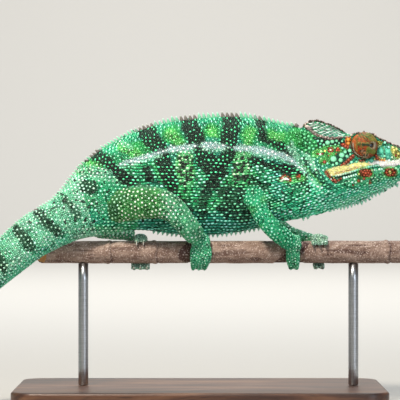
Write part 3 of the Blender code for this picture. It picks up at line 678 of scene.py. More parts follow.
bodyMarks = [  # hue, how much of it, then strokes of (x, z, half width) knots
    ("mint", 0.7, [[(-78, 44, 4), (-60, 60, 4), (-40, 72, 3.5), (0, 81, 3.5), (30, 81, 3.5), (52, 77, 2)]]),
    ("leaf", 0.85, [[(-36, 62, 5), (-26, 66, 3)], [(-16, 70, 6), (-12, 66, 4)], [(7, 71, 6), (8, 66, 4)],
        [(29, 70, 5.5), (29, 64, 3)], [(43, 70, 4), (52, 68, 4), (60, 68, 5)], [(-62, 54, 3),
        (-72, 48, 3)]]),
    ("lime", 0.75, [[(-46, 63, 3), (-38, 58, 3.4)], [(-17, 71, 3), (-12, 66, 3)], [(7, 72, 3.4),
        (9, 67, 2)], [(29, 71, 3.4), (29, 66, 2)], [(43, 70, 2.4), (49, 69, 2.4)], [(57, 70, 3),
        (60, 66, 2)], [(-66, 53, 1.6), (-56, 51.6, 1.4)]]),
    ("pale", 0.75, [[(-70, 49, 2.2), (-61, 49.6, 2), (-54, 47.4, 1.2)], [(-62, 43.4, 1.8), (-52, 44, 1.4),
        (-44, 40.6, 1)], [(-47, 66.4, 1.4), (-41, 62, 1.6)]]),
    ("teal", 0.8, [[(-14, 58, 2), (-6, 58.6, 2)], [(2, 59.5, 2.6), (12, 59, 2.2)], [(34, 57.2, 2.4),
        (46, 54.5, 2.8), (55, 51, 2)], [(5, 66.6, 2), (12, 66, 2)]]),
    ("lime", 0.9, [[(-9, 56, 4.8), (-9, 49, 5.4), (-9, 43, 3.8)], [(25, 57, 5), (25, 50, 5),
        (22, 45, 3.4)]]),
    ("leaf", 0.7, [[(-9, 40, 5), (-9, 34, 4)], [(18, 42, 4), (30, 44, 4)], [(-26, 52, 3), (-22, 44, 3)]]),
    ("pale", 0.4, [[(-9, 57, 4), (-9, 49, 4.8), (-9, 42, 3.4)], [(25, 57, 4.4), (25, 50, 4.6), (22, 44, 3)],
        [(-74, 34, 4), (-64, 31, 4), (-60, 26, 3)]]),
    ("belly", 0.9, [[(-30, 17, 7), (0, 15, 9), (30, 17, 7), (44, 20, 5)]]),
    ("leaf", 0.5, [[(-68, 13, 2.4), (-48, 13, 3)]]),
    ("pale", 0.45, [[(-66, 12, 2.2), (-48, 12.6, 2.8)]]),
    # Bars above the white stripe, and below it
    ("dark", 0.95, [[(-8.2, 88, 5.4), (-6.5, 76, 4.8), (-1.8, 66, 4.9)], [(20, 88, 5.6), (18.6, 76, 5.2),
        (17.4, 66, 5.4)], [(37.4, 87, 2.9), (36.2, 76, 2.6), (37.6, 67.6, 2.6)], [(37.5, 66.4, 1.5),
        (45.5, 65.6, 1.9), (50, 62.5, 3.2), (56.5, 57.6, 2)], [(57.5, 80, 3.4), (58, 75.5, 1.8)],
        [(-35.5, 80, 6.6), (-31, 71, 5.4), (-24, 62.5, 5)], [(-67, 62, 5.2), (-60, 56.5, 3.4)],
        [(-57, 55.5, 3.6), (-52, 50.5, 3)]]),
    ("dark", 0.95, [[(-0.8, 60, 3.8), (4.5, 54.5, 6.4), (9, 48, 6.2), (6.5, 40, 3.4)], [(18.2, 60.4, 3.4),
        (14.5, 54.5, 4.2), (11, 49, 5)], [(31.5, 55.2, 2.9), (36, 54, 2.4)], [(36, 52.2, 1.6),
        (44.5, 50.6, 2.4), (52, 49.4, 2.9), (59, 47.2, 2.3)], [(-22.3, 56, 5), (-20, 50, 5), (-18, 42, 4.6),
        (-14.5, 34, 3.2), (-12, 28, 2.6)], [(-53, 50.5, 2.8), (-46, 45.6, 3.8), (-40.5, 41, 4.2)],
        [(-32, 49, 2.2), (-30, 44, 2.5)]]),
    ("fern", 0.95, [[(-75, 40.2, 3.4), (-64, 38.4, 4)]]),
    ("moss", 0.85, [[(4, 38, 3.6), (2, 30, 3.2), (1, 22, 3)], [(14, 36, 5), (24, 32, 5.6), (33, 28, 5)],
        [(16, 26, 5), (26, 22, 5)], [(-8, 30, 2.4), (-6, 22, 2.4)], [(60, 44, 2), (66, 39, 3.6),
        (73, 37, 3.8)], [(31, 43, 2.6), (38, 39, 2.4)]]),
    ("chalk", 0.7, [[(58, 52.4, 1.8), (45.4, 57.4, 2.2), (29, 60.4, 2)], [(14, 61.2, 1.6), (2, 61.6, 1.6)],
        [(-5, 61.6, 1.4), (-17, 60.2, 1.4)], [(-24, 57.6, 1), (-46, 50.8, 1.2)]]),
    # The stripe along the flank
    ("white", 1, [[(62.6, 46.8, 0.4), (60, 51, 1.1), (52.4, 56, 1.9), (45.4, 58.5, 2), (36.5, 60.7, 2),
        (29, 62, 2.2), (21.2, 62.4, 1.4)], [(14.4, 62.9, 1.7), (9, 63.2, 2.2), (2.2, 63.2, 1.9),
        (0.4, 63.1, 1.2)], [(-4.4, 63.2, 1.3), (-9, 62.8, 2.1), (-16.5, 61.9, 1.9), (-18.6, 61.4, 1)],
        [(-21.6, 60.2, 0.9), (-32, 57.2, 1.6), (-41, 54.4, 1.7), (-47.5, 52.4, 1)]]),
    ("white", 0.8, [[(-1.9, 63.2, 0.5)], [(17.6, 62.6, 0.6), (19, 62.4, 0.5)], [(-20, 61, 0.5)]]),
    ("chalk", 0.85, [[(-53.5, 47.8, 0.8), (-58.5, 46.8, 1.6), (-66, 45.4, 1)], [(-70, 46, 1.6),
        (-80, 34, 2)]]),
    ("chalk", 0.75, [[(53.5, 62.6, 1.4), (57.5, 57, 1.7), (61.2, 51.5, 1.6), (66.5, 46, 1)],
        [(61, 59.4, 0.9), (63.6, 54, 1.2)]]),
    ("dark", 0.9, [[(54.2, 64.4, 0.5), (57.2, 58.6, 0.6), (60.4, 52.6, 0.6), (63.8, 46.2, 0.5)]]),
    ("lime", 0.75, [[(47.6, 43.4, 1.6), (54, 43, 2.2), (61.4, 44.2, 1.8)]]),
    ("rust", 0.9, [[(49.6, 45.4, 1.5)], [(52.3, 43.4, 1.5)], [(58.8, 44.9, 1.3)], [(47.8, 44.3, 1)]]),
    ("cream", 1, [[(49.4, 43.6, 1)]]),
]

headMarks = [
    ("pale", 0.75, [[(103, 59, 2.5), (112, 58, 4.5), (123, 55, 3)]]),
    ("gold", 0.25, [[(112, 60, 4), (122, 56, 3)]]),
    ("leaf", 0.35, [[(84, 40.6, 2.5), (96, 42.4, 3.5), (110, 45.4, 2.5)]]),
    ("pale", 0.4, [[(84, 42.6, 2), (96, 44.4, 3.5), (110, 47.4, 3)]]),
    ("leaf", 0.8, [[(57, 70, 5), (63, 66, 6), (68, 60, 4.5)]]),
    ("moss", 0.3, [[(60, 69, 3), (66, 63.4, 3)]]),
    ("moss", 0.8, [[(65.7, 65.4, 0.6)], [(63.2, 67.4, 0.5)], [(67.8, 61.8, 0.6)], [(69.2, 64.4, 0.5)],
        [(61, 63.6, 0.5)], [(64.6, 62, 0.4)], [(66.4, 70.2, 0.4)]]),
    ("chalk", 0.8, [[(54.6, 65.6, 0.9), (56.8, 60, 1.2), (60.9, 50.4, 1.2), (65.4, 44.2, 1),
        (71.8, 37.8, 0.8)], [(63.6, 58.4, 1.2), (65.4, 54.6, 2), (67.4, 51, 1.4), (72, 45.6, 0.5)]]),
    ("dark", 0.7, [[(69.2, 47.4, 1.8), (72.2, 42.8, 2.8), (76.8, 39, 2)]]),
    ("moss", 0.85, [[(61.6, 58, 0.7), (63.6, 52, 0.9), (68, 45.4, 1.1)]]),
    ("lime", 0.6, [[(62.4, 51.6, 0.6), (66.4, 46.6, 0.6), (72, 40.2, 0.6)], [(66.6, 75.8, 0.1)]]),
    ("moss", 0.35, [[(66.5, 75, 3), (75, 73.8, 3.4), (84, 71.8, 1.6)]]),
    # Painted shadow: a black line just under the casque's lower ridge.
    ("black", 0.9, [[(68, 68.2, 0.9), (72, 67.2, 1), (78, 67.6, 0.9), (84, 67.2, 0.8)]]),
    ("dark", 0.9, [[(71, 64.8, 1.6), (76, 64.9, 2.4), (85, 65, 1.5)]]),
    ("lime", 0.9, [[(69.5, 58.9, 2.4), (76, 60.9, 2.9), (82, 61.4, 2.2)], [(72.6, 54.2, 2),
        (75.8, 56.8, 1.6), (79, 58.4, 1)]]),
    ("moss", 0.85, [[(79, 54.6, 3), (84, 57, 3.4), (88.4, 60, 2)]]),
    ("lime", 0.8, [[(76.6, 52.4, 0.5), (76.9, 57.6, 0.5), (80.4, 58.4, 0.4)], [(82.2, 59.8, 0.4),
        (87.2, 61.4, 0.4)]]),
    ("orange", 0.95, [[(88.2, 67.6, 1.7), (88, 64.6, 1.6)], [(106.4, 54.9, 0.8), (110.4, 54.8, 0.7)]]),
    ("red", 0.95, [[(84.6, 64.2, 1), (87.8, 62.6, 1.3)], [(104.4, 58.6, 1.3), (105.6, 56.2, 1.3)]]),
    ("rust", 0.95, [[(83.4, 50.8, 0.9), (86.8, 53.1, 1.2), (90.9, 57.2, 1.3)], [(95, 54.7, 0.7),
        (98, 54.7, 0.6)]]),
    ("cyan", 0.95, [[(107, 62.2, 1.6), (108, 58.2, 2)], [(111.8, 62, 1.7), (112.4, 56.6, 1.8)],
        [(99.6, 54.4, 0.9), (102.4, 54.6, 1.5)]]),
    ("moss", 0.8, [[(110, 61.4, 0.4), (110.1, 56, 0.5)], [(104.2, 61.6, 0.3), (105.6, 59.8, 0.3)]]),
    ("yellow", 0.6, [[(106.2, 57.2, 0.4), (107.2, 55.9, 0.5), (110.6, 55.6, 0.4)], [(105.4, 62.6, 0.4),
        (107.4, 63.6, 0.4)]]),
    ("gold", 0.8, [[(104.4, 64.6, 1.6), (107.6, 65.2, 1.2)], [(115.6, 61, 2), (118, 58.2, 2.2)]]),
    ("brown", 0.5, [[(116.5, 60.4, 1), (119.4, 57.6, 1.1)]]),
    ("yellow", 1, [[(76.4, 47.2, 2.2), (80, 48, 2.5), (88, 49.9, 2.2), (95, 51.8, 1.7), (101, 53.1, 1.2)]]),
    ("orange", 0.6, [[(80.5, 47.2, 0.35), (88, 48.9, 0.35), (94, 50.7, 0.3)]]),
    ("cream", 1, [[(101.5, 53.4, 1), (106, 53.3, 1.2), (110, 52.8, 1.9), (114.5, 52.6, 1.9),
        (118, 53.6, 1.5), (124, 54, 1.2), (128, 54.2, 1.2)]]),
    ("dark", 0.9, [[(77.4, 43.6, 0.5), (84, 45.1, 0.9), (90, 46.9, 0.9), (95.4, 48.6, 0.5)]]),
    ("lime", 0.85, [[(97, 47.6, 3.5), (100.4, 47.2, 3.3)], [(111.8, 47.8, 3.3), (115, 47.6, 3.3)],
        [(94.4, 42.6, 1.5)], [(74, 53.8, 1.7)]]),
    ("rust", 0.95, [[(97, 47.5, 2.6), (100.4, 47.2, 2.5)], [(112, 47.8, 2.4), (115, 47.6, 2.5)],
        [(94.4, 42.6, 1)], [(101.5, 41.4, 0.9)], [(91.2, 40, 0.7)], [(97.6, 43.9, 0.9)], [(74, 53.8, 1.1)],
        [(74.7, 48, 0.9), (77.4, 44.2, 1), (80.6, 41.7, 1), (83.8, 43.9, 0.8)], [(77.7, 61, 1.8)],
        [(82.1, 61.2, 1.5)], [(72.8, 58.8, 0.8)], [(70.2, 58.7, 0.8)]]),
    ("gold", 0.7, [[(113.4, 47.8, 1)], [(94.6, 46.4, 0.8)]]),
    ("moss", 0.7, [[(87, 42.6, 0.6), (86.4, 39.8, 0.7)]]),
    ("chalk", 0.4, [[(84, 29, 1.6), (104, 36.5, 1.6), (122, 44.5, 1.2)]]),
    ("black", 1, [[(119.6, 60, 0.5)]]),
]
headPlates = {  # big flat plates on the head, by hue: x, z, radius
    "chalk": ((79.3, 55.6, 2.2), (84.3, 57.9, 1.75), (83.6, 54.9, 1.45), (81.2, 52.9, 1.25),
        (78.9, 52, 0.9), (86.3, 59.8, 1.1), (87.4, 57.2, 1), (89.1, 60.6, 1.1), (89.4, 58.4, 0.8),
        (76, 65.4, 1.4), (78.8, 66, 1.3), (81.3, 66.4, 0.9), (73.8, 64, 0.85), (72.6, 66.4, 0.9),
        (82.8, 65.1, 0.8), (80.6, 64.2, 0.7), (84.6, 66.2, 0.7), (77.9, 63.5, 0.65), (71.6, 62.6, 0.7),
        (93, 53.9, 0.9), (109.4, 48.6, 0.9), (107.6, 47.4, 0.8), (105.2, 48.8, 0.8), (118.2, 49.4, 0.9)),
    "cyan": ((107.8, 60.5, 1.9), (112.1, 60.2, 1.8), (112.1, 56.9, 1.3), (108.2, 57.4, 1), (102, 54.6, 1.4),
        (99.2, 54, 0.8), (110.1, 62.9, 0.9)),
    "orange": ((88.2, 67.3, 1.25), (88.3, 65, 1.15), (106.9, 54.9, 0.6), (108.3, 55, 0.6),
        (109.8, 54.8, 0.6)),
    "red": ((86.6, 63.4, 1), (88, 62.7, 0.8), (85.3, 64.4, 0.7), (104.9, 57.6, 0.9), (105.6, 56.1, 0.8),
        (98.6, 47.2, 0.85), (97, 47.6, 0.8), (100.2, 47.4, 0.85), (98, 48.8, 0.7), (99.6, 48.9, 0.7),
        (101.6, 46.6, 0.75), (95.8, 48.6, 0.7), (99.4, 45.8, 0.7), (97.7, 45.9, 0.7), (101, 48.6, 0.6),
        (111.6, 49.2, 0.75), (114.9, 49.4, 0.75), (111.2, 47.6, 0.7), (115.9, 47.6, 0.75),
        (112.2, 46.3, 0.7), (115, 46.3, 0.7), (113.6, 45.9, 0.6), (82.1, 61.9, 0.75), (81.4, 60.7, 0.7),
        (82.8, 60.7, 0.6)),
    "rust": ((84, 51.9, 0.75), (85.5, 52.8, 0.85), (86.9, 53.9, 0.85), (88.3, 55.1, 0.85),
        (89.6, 56.3, 0.85), (90.9, 57.6, 0.8), (76.4, 60.6, 0.6), (77, 62, 0.6), (78.4, 62.3, 0.6),
        (79.1, 61.1, 0.6), (78.5, 59.9, 0.6), (77.1, 59.6, 0.6), (76.6, 57.6, 0.5), (77.8, 58.5, 0.5),
        (80.9, 58.6, 0.5), (74, 53.8, 1), (72.6, 58.9, 0.6), (70.6, 58.7, 0.6), (74.9, 47.8, 0.65),
        (75.7, 46.2, 0.65), (77.1, 44.5, 0.65), (78.7, 42.9, 0.65), (80.7, 41.8, 0.65), (82.5, 42.9, 0.65),
        (83.9, 44, 0.55), (94.4, 42.6, 0.9), (97.6, 43.9, 0.75), (101.5, 41.2, 0.7), (101.2, 42.6, 0.5),
        (91.2, 40, 0.55), (95.6, 54.6, 0.6), (97.2, 54.7, 0.6), (124, 50.2, 0.8), (116.9, 57.8, 0.8)),
    "gold": ((113.2, 48.2, 0.75), (113.5, 46.9, 0.5), (94.6, 46.6, 0.7), (105.6, 63.6, 0.8),
        (115.8, 61, 0.9), (118.4, 58.8, 0.8), (104, 55.4, 0.6), (79.4, 44.4, 0.55), (76.4, 48.8, 0.6),
        (74.4, 60.4, 0.7)),
    "yellow": ((77.7, 61, 0.7), (78.1, 46, 0.6)),
    "cream": ((71.6, 58.3, 0.75), (77.9, 43.6, 0.45)),
}


bodyPlates = {
    "cream": ((51, 43.8, 0.8), (52.3, 43.4, 0.7), (49.7, 43.7, 0.6)),
    "red": ((49.3, 45.3, 0.6), (50.6, 45.8, 0.55), (53.6, 43.9, 0.6), (53.8, 42.7, 0.5), (48.6, 44.2, 0.6),
        (52.2, 45.1, 0.55), (58.2, 45.2, 0.6), (59.4, 44.8, 0.5), (59.2, 46, 0.5)),
}
tailMarks = [
    ("chalk", 0.5, [[(-88, 28.5, 2), (-82, 21, 2.8), (-77, 14.5, 2.2)], [(-100.5, 19.5, 1.8),
        (-95, 12, 2.6), (-91.5, 6, 2)], [(-112, 8, 2), (-107.5, 1.6, 2.6), (-104, -4, 2)], [(-72, 34, 2),
        (-66, 24, 3), (-62, 18, 2)]]),
    ("fern", 0.95, [[(-96.5, 24.5, 2.6), (-88, 15.5, 3.2), (-81.5, 9.8, 1.8)], [(-108, 14, 2.6),
        (-101, 6, 3.2), (-97.4, 1.2, 1.6)], [(-121, 0.5, 3), (-116, -6, 3.4), (-113.5, -11, 2)]]),
    ("fern", 0.85, [[(-80.5, 33, 1.8), (-75.5, 26.5, 2.4), (-72.6, 20.6, 1.6)]]),
]


def speckle(x, z, apart, seed):  # how far the nearest of scattered centres is, in shares of their room
    dx, dz = apart
    best = np.full(len(x), 9.0)
    column, row = np.floor(x / dx).astype(int), np.floor(z / dz).astype(int)
    for near in np.ndindex(3, 3):
        cx, cz = column + near[0] - 1, row + near[1] - 1
        mixed = cx * 7349 + cz * 9151 + seed * 531
        jx, jz = np.sin(mixed * 12.9898) * 43758.5453 % 1.0, np.sin(mixed * 78.233) * 12543.123 % 1.0
        away = np.hypot(x / dx - (cx + 0.2 + 0.6 * jx), z / dz - (cz + 0.2 + 0.6 * jz))
        best = np.minimum(best, away)
    return best


bodySteps = np.linspace(0, len(bodyRows) - 1, 400)
bodyDense = smoothRow(bodyRows, bodySteps)
bodyLengths = goneAlong((bodyDense[:, :2] + bodyDense[:, 2:4]) / 2)
edgeLine = np.array(((-80, 9), (30, 10), (45, 16), (60, 22), (84, 29.5), (104, 37), (122, 45),
                     (132, 50)), float)


def rowPlace(points):  # how far above the belly's and throat's edge, along which the rows of scales run
    edge = np.interp(points[:, 0], edgeLine[:, 0], edgeLine[:, 1])
    drawn = points * (1, 0.3, 0.7)
    drift = 2.6 * (fog(drawn, 15, 61) - 0.5) + 1.0 * (fog(drawn, 6, 62) - 0.5)
    return points[:, 2] - edge * np.clip(1 - (points[:, 2] - edge) / 45, 0, 1) + drift


def rowShare(points, labels):  # where the scales lie in rows
    x, z = points[:, 0], points[:, 2]
    flank = partsNamed(labels, "trunk", "neck") * easeIn((57 - z) / 6) * easeIn((64 - x) / 5)
    flank *= 0.35 + 0.65 * easeIn((x + 52) / 14)
    jaw = partsNamed(labels, "lower_jaw", "neck", "head") * easeIn((44 - z) / 4) * (x > 50)
    return np.maximum(flank, jaw)


def mixIn(tones, share, hue):
    share = np.asarray(share)[:, None]
    return [tone * (1 - share) + colour * share for tone, colour in zip(tones, hues[hue])]


def paintMarks(tones, marks, x, z, where, soft):
    for hue, amount, strokes in marks:
        share = np.zeros(len(x))
        for knots in strokes:
            share = np.maximum(share, strokeShare(x, z, knots, soft))
        tones = mixIn(tones, share * amount * where, hue)
    return tones


def paint(points, labels):  # the small scales' colour and the big ones', at each place
    side = np.where(points[:, 1] < 0, 0.0, 900.0)  # the left side's markings wander another way
    spot = points + np.stack([side, side, side], 1)
    wander = np.stack([fog(spot, 5, 1) - 0.5, fog(spot, 5, 2) - 0.5, fog(spot, 1.6, 3) - 0.5,
                       fog(spot, 1.6, 4) - 0.5], 1)
    x = points[:, 0] + 2.2 * wander[:, 0] + 1.3 * wander[:, 2]
    z = points[:, 2] + 1.6 * wander[:, 1] + 1.3 * wander[:, 3]
    fine = np.stack([points[:, 0] + 0.7 * wander[:, 2], points[:, 2] + 0.7 * wander[:, 3]], 0)
    tones = [np.tile(colour, (len(points), 1)) for colour in hues["ground"]]
    tones = mixIn(tones, 0.6 * easeIn(fog(spot, 11, 5) * 2.4 - 0.9), "teal")
    tones = mixIn(tones, 0.45 * easeIn(fog(spot, 8, 6) * 2.6 - 1.2), "leaf")
    head = partsNamed(labels, "head", "lower_jaw").astype(float)
    tail = partsNamed(labels, "tail").astype(float)
    legs = partsNamed(labels, "fore", "hind").astype(float)
    body = (1 - head) * (1 - legs)
    at, high, _, _ = bodyPlace(points)
    tones = paintMarks(tones, bodyMarks, x, z, body * (at < 15), 1.4)
    gone = np.interp(at, bodySteps, bodyLengths)
    beat = (gone + 5 * (high * 0.5) + 4 * wander[:, 0] - 148) / 13.5  # bands along the tail
    band = easeIn((np.cos(beat * 2 * math.pi) + 0.15) * 0.8) * easeIn((at - 17) / 1.5)
    tones = mixIn(tones, tail * 0.5 * easeIn((at - 10.5) / 2), "mint")
    tones = mixIn(tones, tail * (0.5 + 0.4 * easeIn((fog(spot, 7, 14) - 0.4) * 3)), "sea")
    tones = paintMarks(tones, tailMarks, x, z, tail, 1.6)
    tones = mixIn(tones, tail * 0.9 * band * easeIn((fog(spot, 6, 8) - 0.2) * 2.2), "fern")
    tones = mixIn(tones, tail * 0.6 * easeIn((-high - 0.4) * 2.5) * easeIn(at - 13), "throat")
    nearFeet = ("hindfoot_right", "forefoot_right")
    for parts, hue, amount, where in (  # the legs, in layers
            (("hindleg_right",), "olive", 0.9, 1), (("hindleg_right",), "pale", 0.7, easeIn((x + 27) / 9)),
            (("hindleg_right_thigh",), "pale", 0.7, easeIn((points[:, 2] - 36.6) / 3)),
            (("hindleg_right_thigh",), "moss", 0.7, easeIn((fog(spot, 7, 9) - 0.55) * 3)),
            (("hindleg_left", "foreleg_left"), "pale", 0.9, 1),
            (("forefoot_left", "hindfoot_left"), "grey", 0.9, 1),
            (("foreleg_right",), "mint", 0.75, 1), (("hindleg_right_shank",), "mint", 0.3, 1),
            (("foreleg_right_upper",), "lime", 0.4, easeIn((fog(spot, 6, 10) - 0.45) * 3)),
            (("fore", "hind"), "moss", 0.3, easeIn((fog(spot, 4, 11) - 0.62) * 4)),
            (nearFeet, "mint", 0.7, 1), (nearFeet, "pale", 0.3, 1)):
        tones = mixIn(tones, amount * partsNamed(labels, *parts) * where, hue)
    tones = mixIn(tones, head * 0.8 * easeIn((52 - points[:, 2]) / 4), "throat")
    throat = partsNamed(labels, "neck") * easeIn((36 - points[:, 2]) / 6) * easeIn((points[:, 0] - 44) / 8)
    tones = mixIn(tones, throat * 0.75, "throat")
    tones = paintMarks(tones, headMarks, fine[0], fine[1], np.maximum(head, body * (at < 1.2)), 0.7)
    ridge = np.full(len(points), 99.0)
    near = points[:, 0] > 58
    for line in (ridgeLine, crownLine):
        for knot in walk(line, 0.6):
            for hand in (-1, 1):
                away = np.linalg.norm(points[near] - knot * (1, hand, 1), axis=1)
                ridge[near] = np.minimum(ridge[near], away)
    tones = mixIn(tones, head * easeIn((1.25 - ridge) / 0.5) * 0.95, "bark")
    pitted = np.maximum(strokeShare(x, z, [(-9, 53, 5), (-9, 44, 5)], 1),
                        strokeShare(x, z, [(25, 53, 5), (24, 44, 5)], 1))
    pits = speckle(x, z, (3.4, 2.6), 5) < 0.38
    few = (speckle(x, z, (6.5, 5.5), 9) < 0.13) & (np.abs(points[:, 2] - 36) < 20)
    tones = mixIn(tones, np.maximum(pits * pitted, few) * body * 0.95, "black")
    rows = rowPlace(points) / 2.15 + 0.12 * wander[:, 3]
    beat = 0.5 + 0.5 * np.cos(2 * math.pi * rows)
    rank = rowShare(points, labels) * (1 - 0.6 * head) * (1 - 0.6 * pitted)
    tones = [tone * (1 - rank * 0.5 * (1 - beat) + rank * 0.45 * beat)[:, None] for tone in tones]
    return tones


# Scales: small granules with bigger tubercles among them, in pieces small enough to bake

coatLook = {
    "grain": {  # mm from scale to scale, by part
        "trunk": 1.22, "neck": 1.15, "tail_base": 1.2, "tail_middle": 1.2, "tail_coil": 1.1, "tail_tip": 0.95,
        "head": 1.12, "lower_jaw": 1.0, "hindleg": 1.08, "foreleg": 1.02, "forefoot": 0.9, "hindfoot": 0.9,
    },
    "knob": {  # mm from big scale to big scale, then their radius
        "trunk": (2.7, 0.6), "neck": (2.6, 0.58), "tail_base": (2.6, 0.61), "tail_middle": (2.5, 0.59),
        "tail_coil": (2.0, 0.5), "tail_tip": (1.7, 0.42), "head": (2.6, 0.72), "lower_jaw": (2.3, 0.6),
        "hindleg": (2.8, 0.6), "foreleg": (2.5, 0.56), "forefoot": (1.9, 0.43), "hindfoot": (1.9, 0.42),
    },
    "row": 1.075,  # mm between the rows of small scales; the big ones lie on every other row
    "rounds": 9, "mostTriangles": 185000, "patch": 0.0015,
}


# Each ring also carries a crown value, which sets the scales' painted light: painted shade at the base,
# painted highlight at the top.
def domeShape(name, sides, levels):  # a unit dome: rings of (radius, height), closed below
    points, crowns = [], []
    for radius, height, crown in levels:
        for turn in range(sides):
            angle = 2 * math.pi * turn / sides
            points.append((radius * math.cos(angle), radius * math.sin(angle), height))
            crowns.append(crown)
    faces = ringFaces(0, len(levels), sides, False)
    top = len(points)
    points.append((0, 0, levels[-1][1] + 0.12 * levels[-1][0]))
    crowns.append(1.0)
    faces += [(top - sides + turn, top - sides + (turn + 1) % sides, top) for turn in range(sides)]
    faces.append(tuple(reversed(range(sides))))
    return makeShape(name, points, crowns, faces)


def makeShape(name, points, crowns, faces):
    mesh = bpy.data.meshes.new(name)
    mesh.from_pydata(points, [], faces)
    mesh.update()
    mesh.shade_smooth()
    setAttribute(mesh, "crown", "FLOAT", crowns)
    setAttribute(mesh, "patch", "FLOAT_VECTOR", [(x, y, 0) for x, y, _ in points])
    shape = bpy.data.objects.new(name, mesh)
    scene.collection.objects.link(shape)
    shape.hide_render = True
    return shape


grainShape = domeShape("grain shape", 6, ((1.0, -0.5, 0.0), (0.82, 0.22, 0.55)))
knobShape = domeShape("knob shape", 8, ((1.0, -0.4, 0.0), (0.9, 0.25, 0.4), (0.55, 0.62, 0.85)))
spikeShape = domeShape("spike shape", 8, ((1.06, -0.3, 0.0), (0.84, 0.12, 0.3), (0.5, 0.52, 0.72),
                                          (0.12, 0.95, 1.0)))


def plantTree():  # sets one shape on every point, by the points' own attributes
    tree = bpy.data.node_groups.new("plant scales", "GeometryNodeTree")
    face = tree.interface
    sockets = {}
    for name, kind, value in (
            ("Points", "Geometry", None), ("Shape", "Object", None), ("Finish", "Material", None),
            ("Uneven", "Float", 0.12), ("Turn", "Float", 0.1), ("Patch", "Float", coatLook["patch"]),
            ("Seed", "Int", 3)):
        socket = face.new_socket(name, in_out="INPUT", socket_type="NodeSocket" + kind)
        if value is not None:
            socket.default_value = value
        sockets[name] = socket.identifier
    face.new_socket("Scales", in_out="OUTPUT", socket_type="NodeSocketGeometry")
    given = addNode(tree, "NodeGroupInput").outputs

    def named(name, kind="FLOAT_VECTOR"):
        reader = addNode(tree, "GeometryNodeInputNamedAttribute", {"Name": name}, data_type=kind)
        return reader.outputs["Attribute"]

    aim = addNode(tree, "FunctionNodeAxesToRotation", {0: named("aim"), 1: named("lie")},
                  primary_axis="Z", secondary_axis="X")
    less = addNode(tree, "ShaderNodeMath", {0: 0.0, 1: given["Turn"]}, operation="SUBTRACT")
    turn = addNode(tree, "FunctionNodeRandomValue", {
        2: less.outputs[0], 3: given["Turn"], "Seed": given["Seed"]}, data_type="FLOAT")
    spin = addNode(tree, "FunctionNodeAxisAngleToRotation", {"Axis": (0, 0, 1), "Angle": turn.outputs[1]})
    turned = addNode(tree, "FunctionNodeRotateRotation", {0: aim.outputs[0], 1: spin.outputs[0]},
                     rotation_space="LOCAL")
    low = addNode(tree, "ShaderNodeMath", {0: 1.0, 1: given["Uneven"]}, operation="SUBTRACT")
    high = addNode(tree, "ShaderNodeMath", {0: 1.0, 1: given["Uneven"]}, operation="ADD")
    uneven = addNode(tree, "FunctionNodeRandomValue", {
        2: low.outputs[0], 3: high.outputs[0], "Seed": given["Seed"]}, data_type="FLOAT")
    size = addNode(tree, "ShaderNodeVectorMath", {0: named("size"), 3: uneven.outputs[1]}, operation="SCALE")
    shape = addNode(tree, "GeometryNodeObjectInfo", {"Object": given["Shape"]})
    planted = addNode(tree, "GeometryNodeInstanceOnPoints", {
        "Points": given["Points"], "Instance": shape.outputs["Geometry"], "Rotation": turned.outputs[0],
        "Scale": size.outputs[0]})
    real = addNode(tree, "GeometryNodeRealizeInstances", {0: planted.outputs[0]})
    offset = addNode(tree, "ShaderNodeVectorMath", {0: named("patch"), 3: given["Patch"]}, operation="SCALE")
    place = addNode(tree, "ShaderNodeVectorMath", {0: named("rootMap"), 1: offset.outputs[0]},
                    operation="ADD")
    mapped = addNode(tree, "GeometryNodeStoreNamedAttribute", {
        "Geometry": real.outputs[0], "Name": "OFBake", "Value": place.outputs[0]},
        data_type="FLOAT2", domain="CORNER")
    dressed = addNode(tree, "GeometryNodeSetMaterial", {0: mapped.outputs[0], "Material": given["Finish"]})
    addNode(tree, "NodeGroupOutput", {0: dressed.outputs[0]})
    return tree, sockets


planting, plantingSocket = plantTree()


def plant(name, roots, shape, finish, uneven=0.12, turn=0.1, seed=3):  # one piece of scales from its roots
    mesh = bpy.data.meshes.new(name)
    mesh.from_pydata(toWorld(roots["place"]).tolist(), [], [])
    for key in ("aim", "lie", "rootMap"):
        setAttribute(mesh, key, "FLOAT_VECTOR", roots[key])
    setAttribute(mesh, "size", "FLOAT_VECTOR", np.asarray(roots["size"]) * mm)
    setTones(mesh, roots["tone"])
    seeds = bpy.data.objects.new(name, mesh)
    scene.collection.objects.link(seeds)
    grow = seeds.modifiers.new("plant", "NODES")
    grow.node_group = planting
    for key, value in (("Shape", shape), ("Finish", finish), ("Uneven", float(uneven)), ("Turn", float(turn)),
                       ("Patch", coatLook["patch"]), ("Seed", seed)):
        grow[plantingSocket[key]] = value
    bpy.context.view_layer.update()
    made = bpy.data.meshes.new_from_object(seeds.evaluated_get(bpy.context.evaluated_depsgraph_get()))
    seeds.modifiers.clear()
    old = seeds.data
    seeds.data = made
    bpy.data.meshes.remove(old)
    made.name = name
    for spare in ("aim", "lie", "size", "rootMap", "patch"):
        if spare in made.attributes:
            made.attributes.remove(made.attributes[spare])
    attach(seeds, "root")
    return seeds


def partValue(table, column=None):  # a value for each skin point from a table by part, blended at the joins
    values = np.zeros(len(skinPoints))
    for start, value in table.items():
        values[partsNamed(labels, start)] = value if column is None else value[column]
    return spread(values, 10)


def scatter(spacing, room):
    corners = skinPoints[triangles]
    area = np.linalg.norm(np.cross(corners[:, 1] - corners[:, 0], corners[:, 2] - corners[:, 0]), axis=1) / 2
    due = area * room[triangles].mean(1) / (0.866 * spacing[triangles].mean(1) ** 2)
    face = chance.choice(len(due), int(due.sum()), p=due / due.sum())
    u, v = chance.random((2, len(face)))
    over = u + v > 1
    u[over], v[over] = 1 - u[over], 1 - v[over]
    a, b, c = (corners[face, k] for k in range(3))
    return a + (b - a) * u[:, None] + (c - a) * v[:, None], face


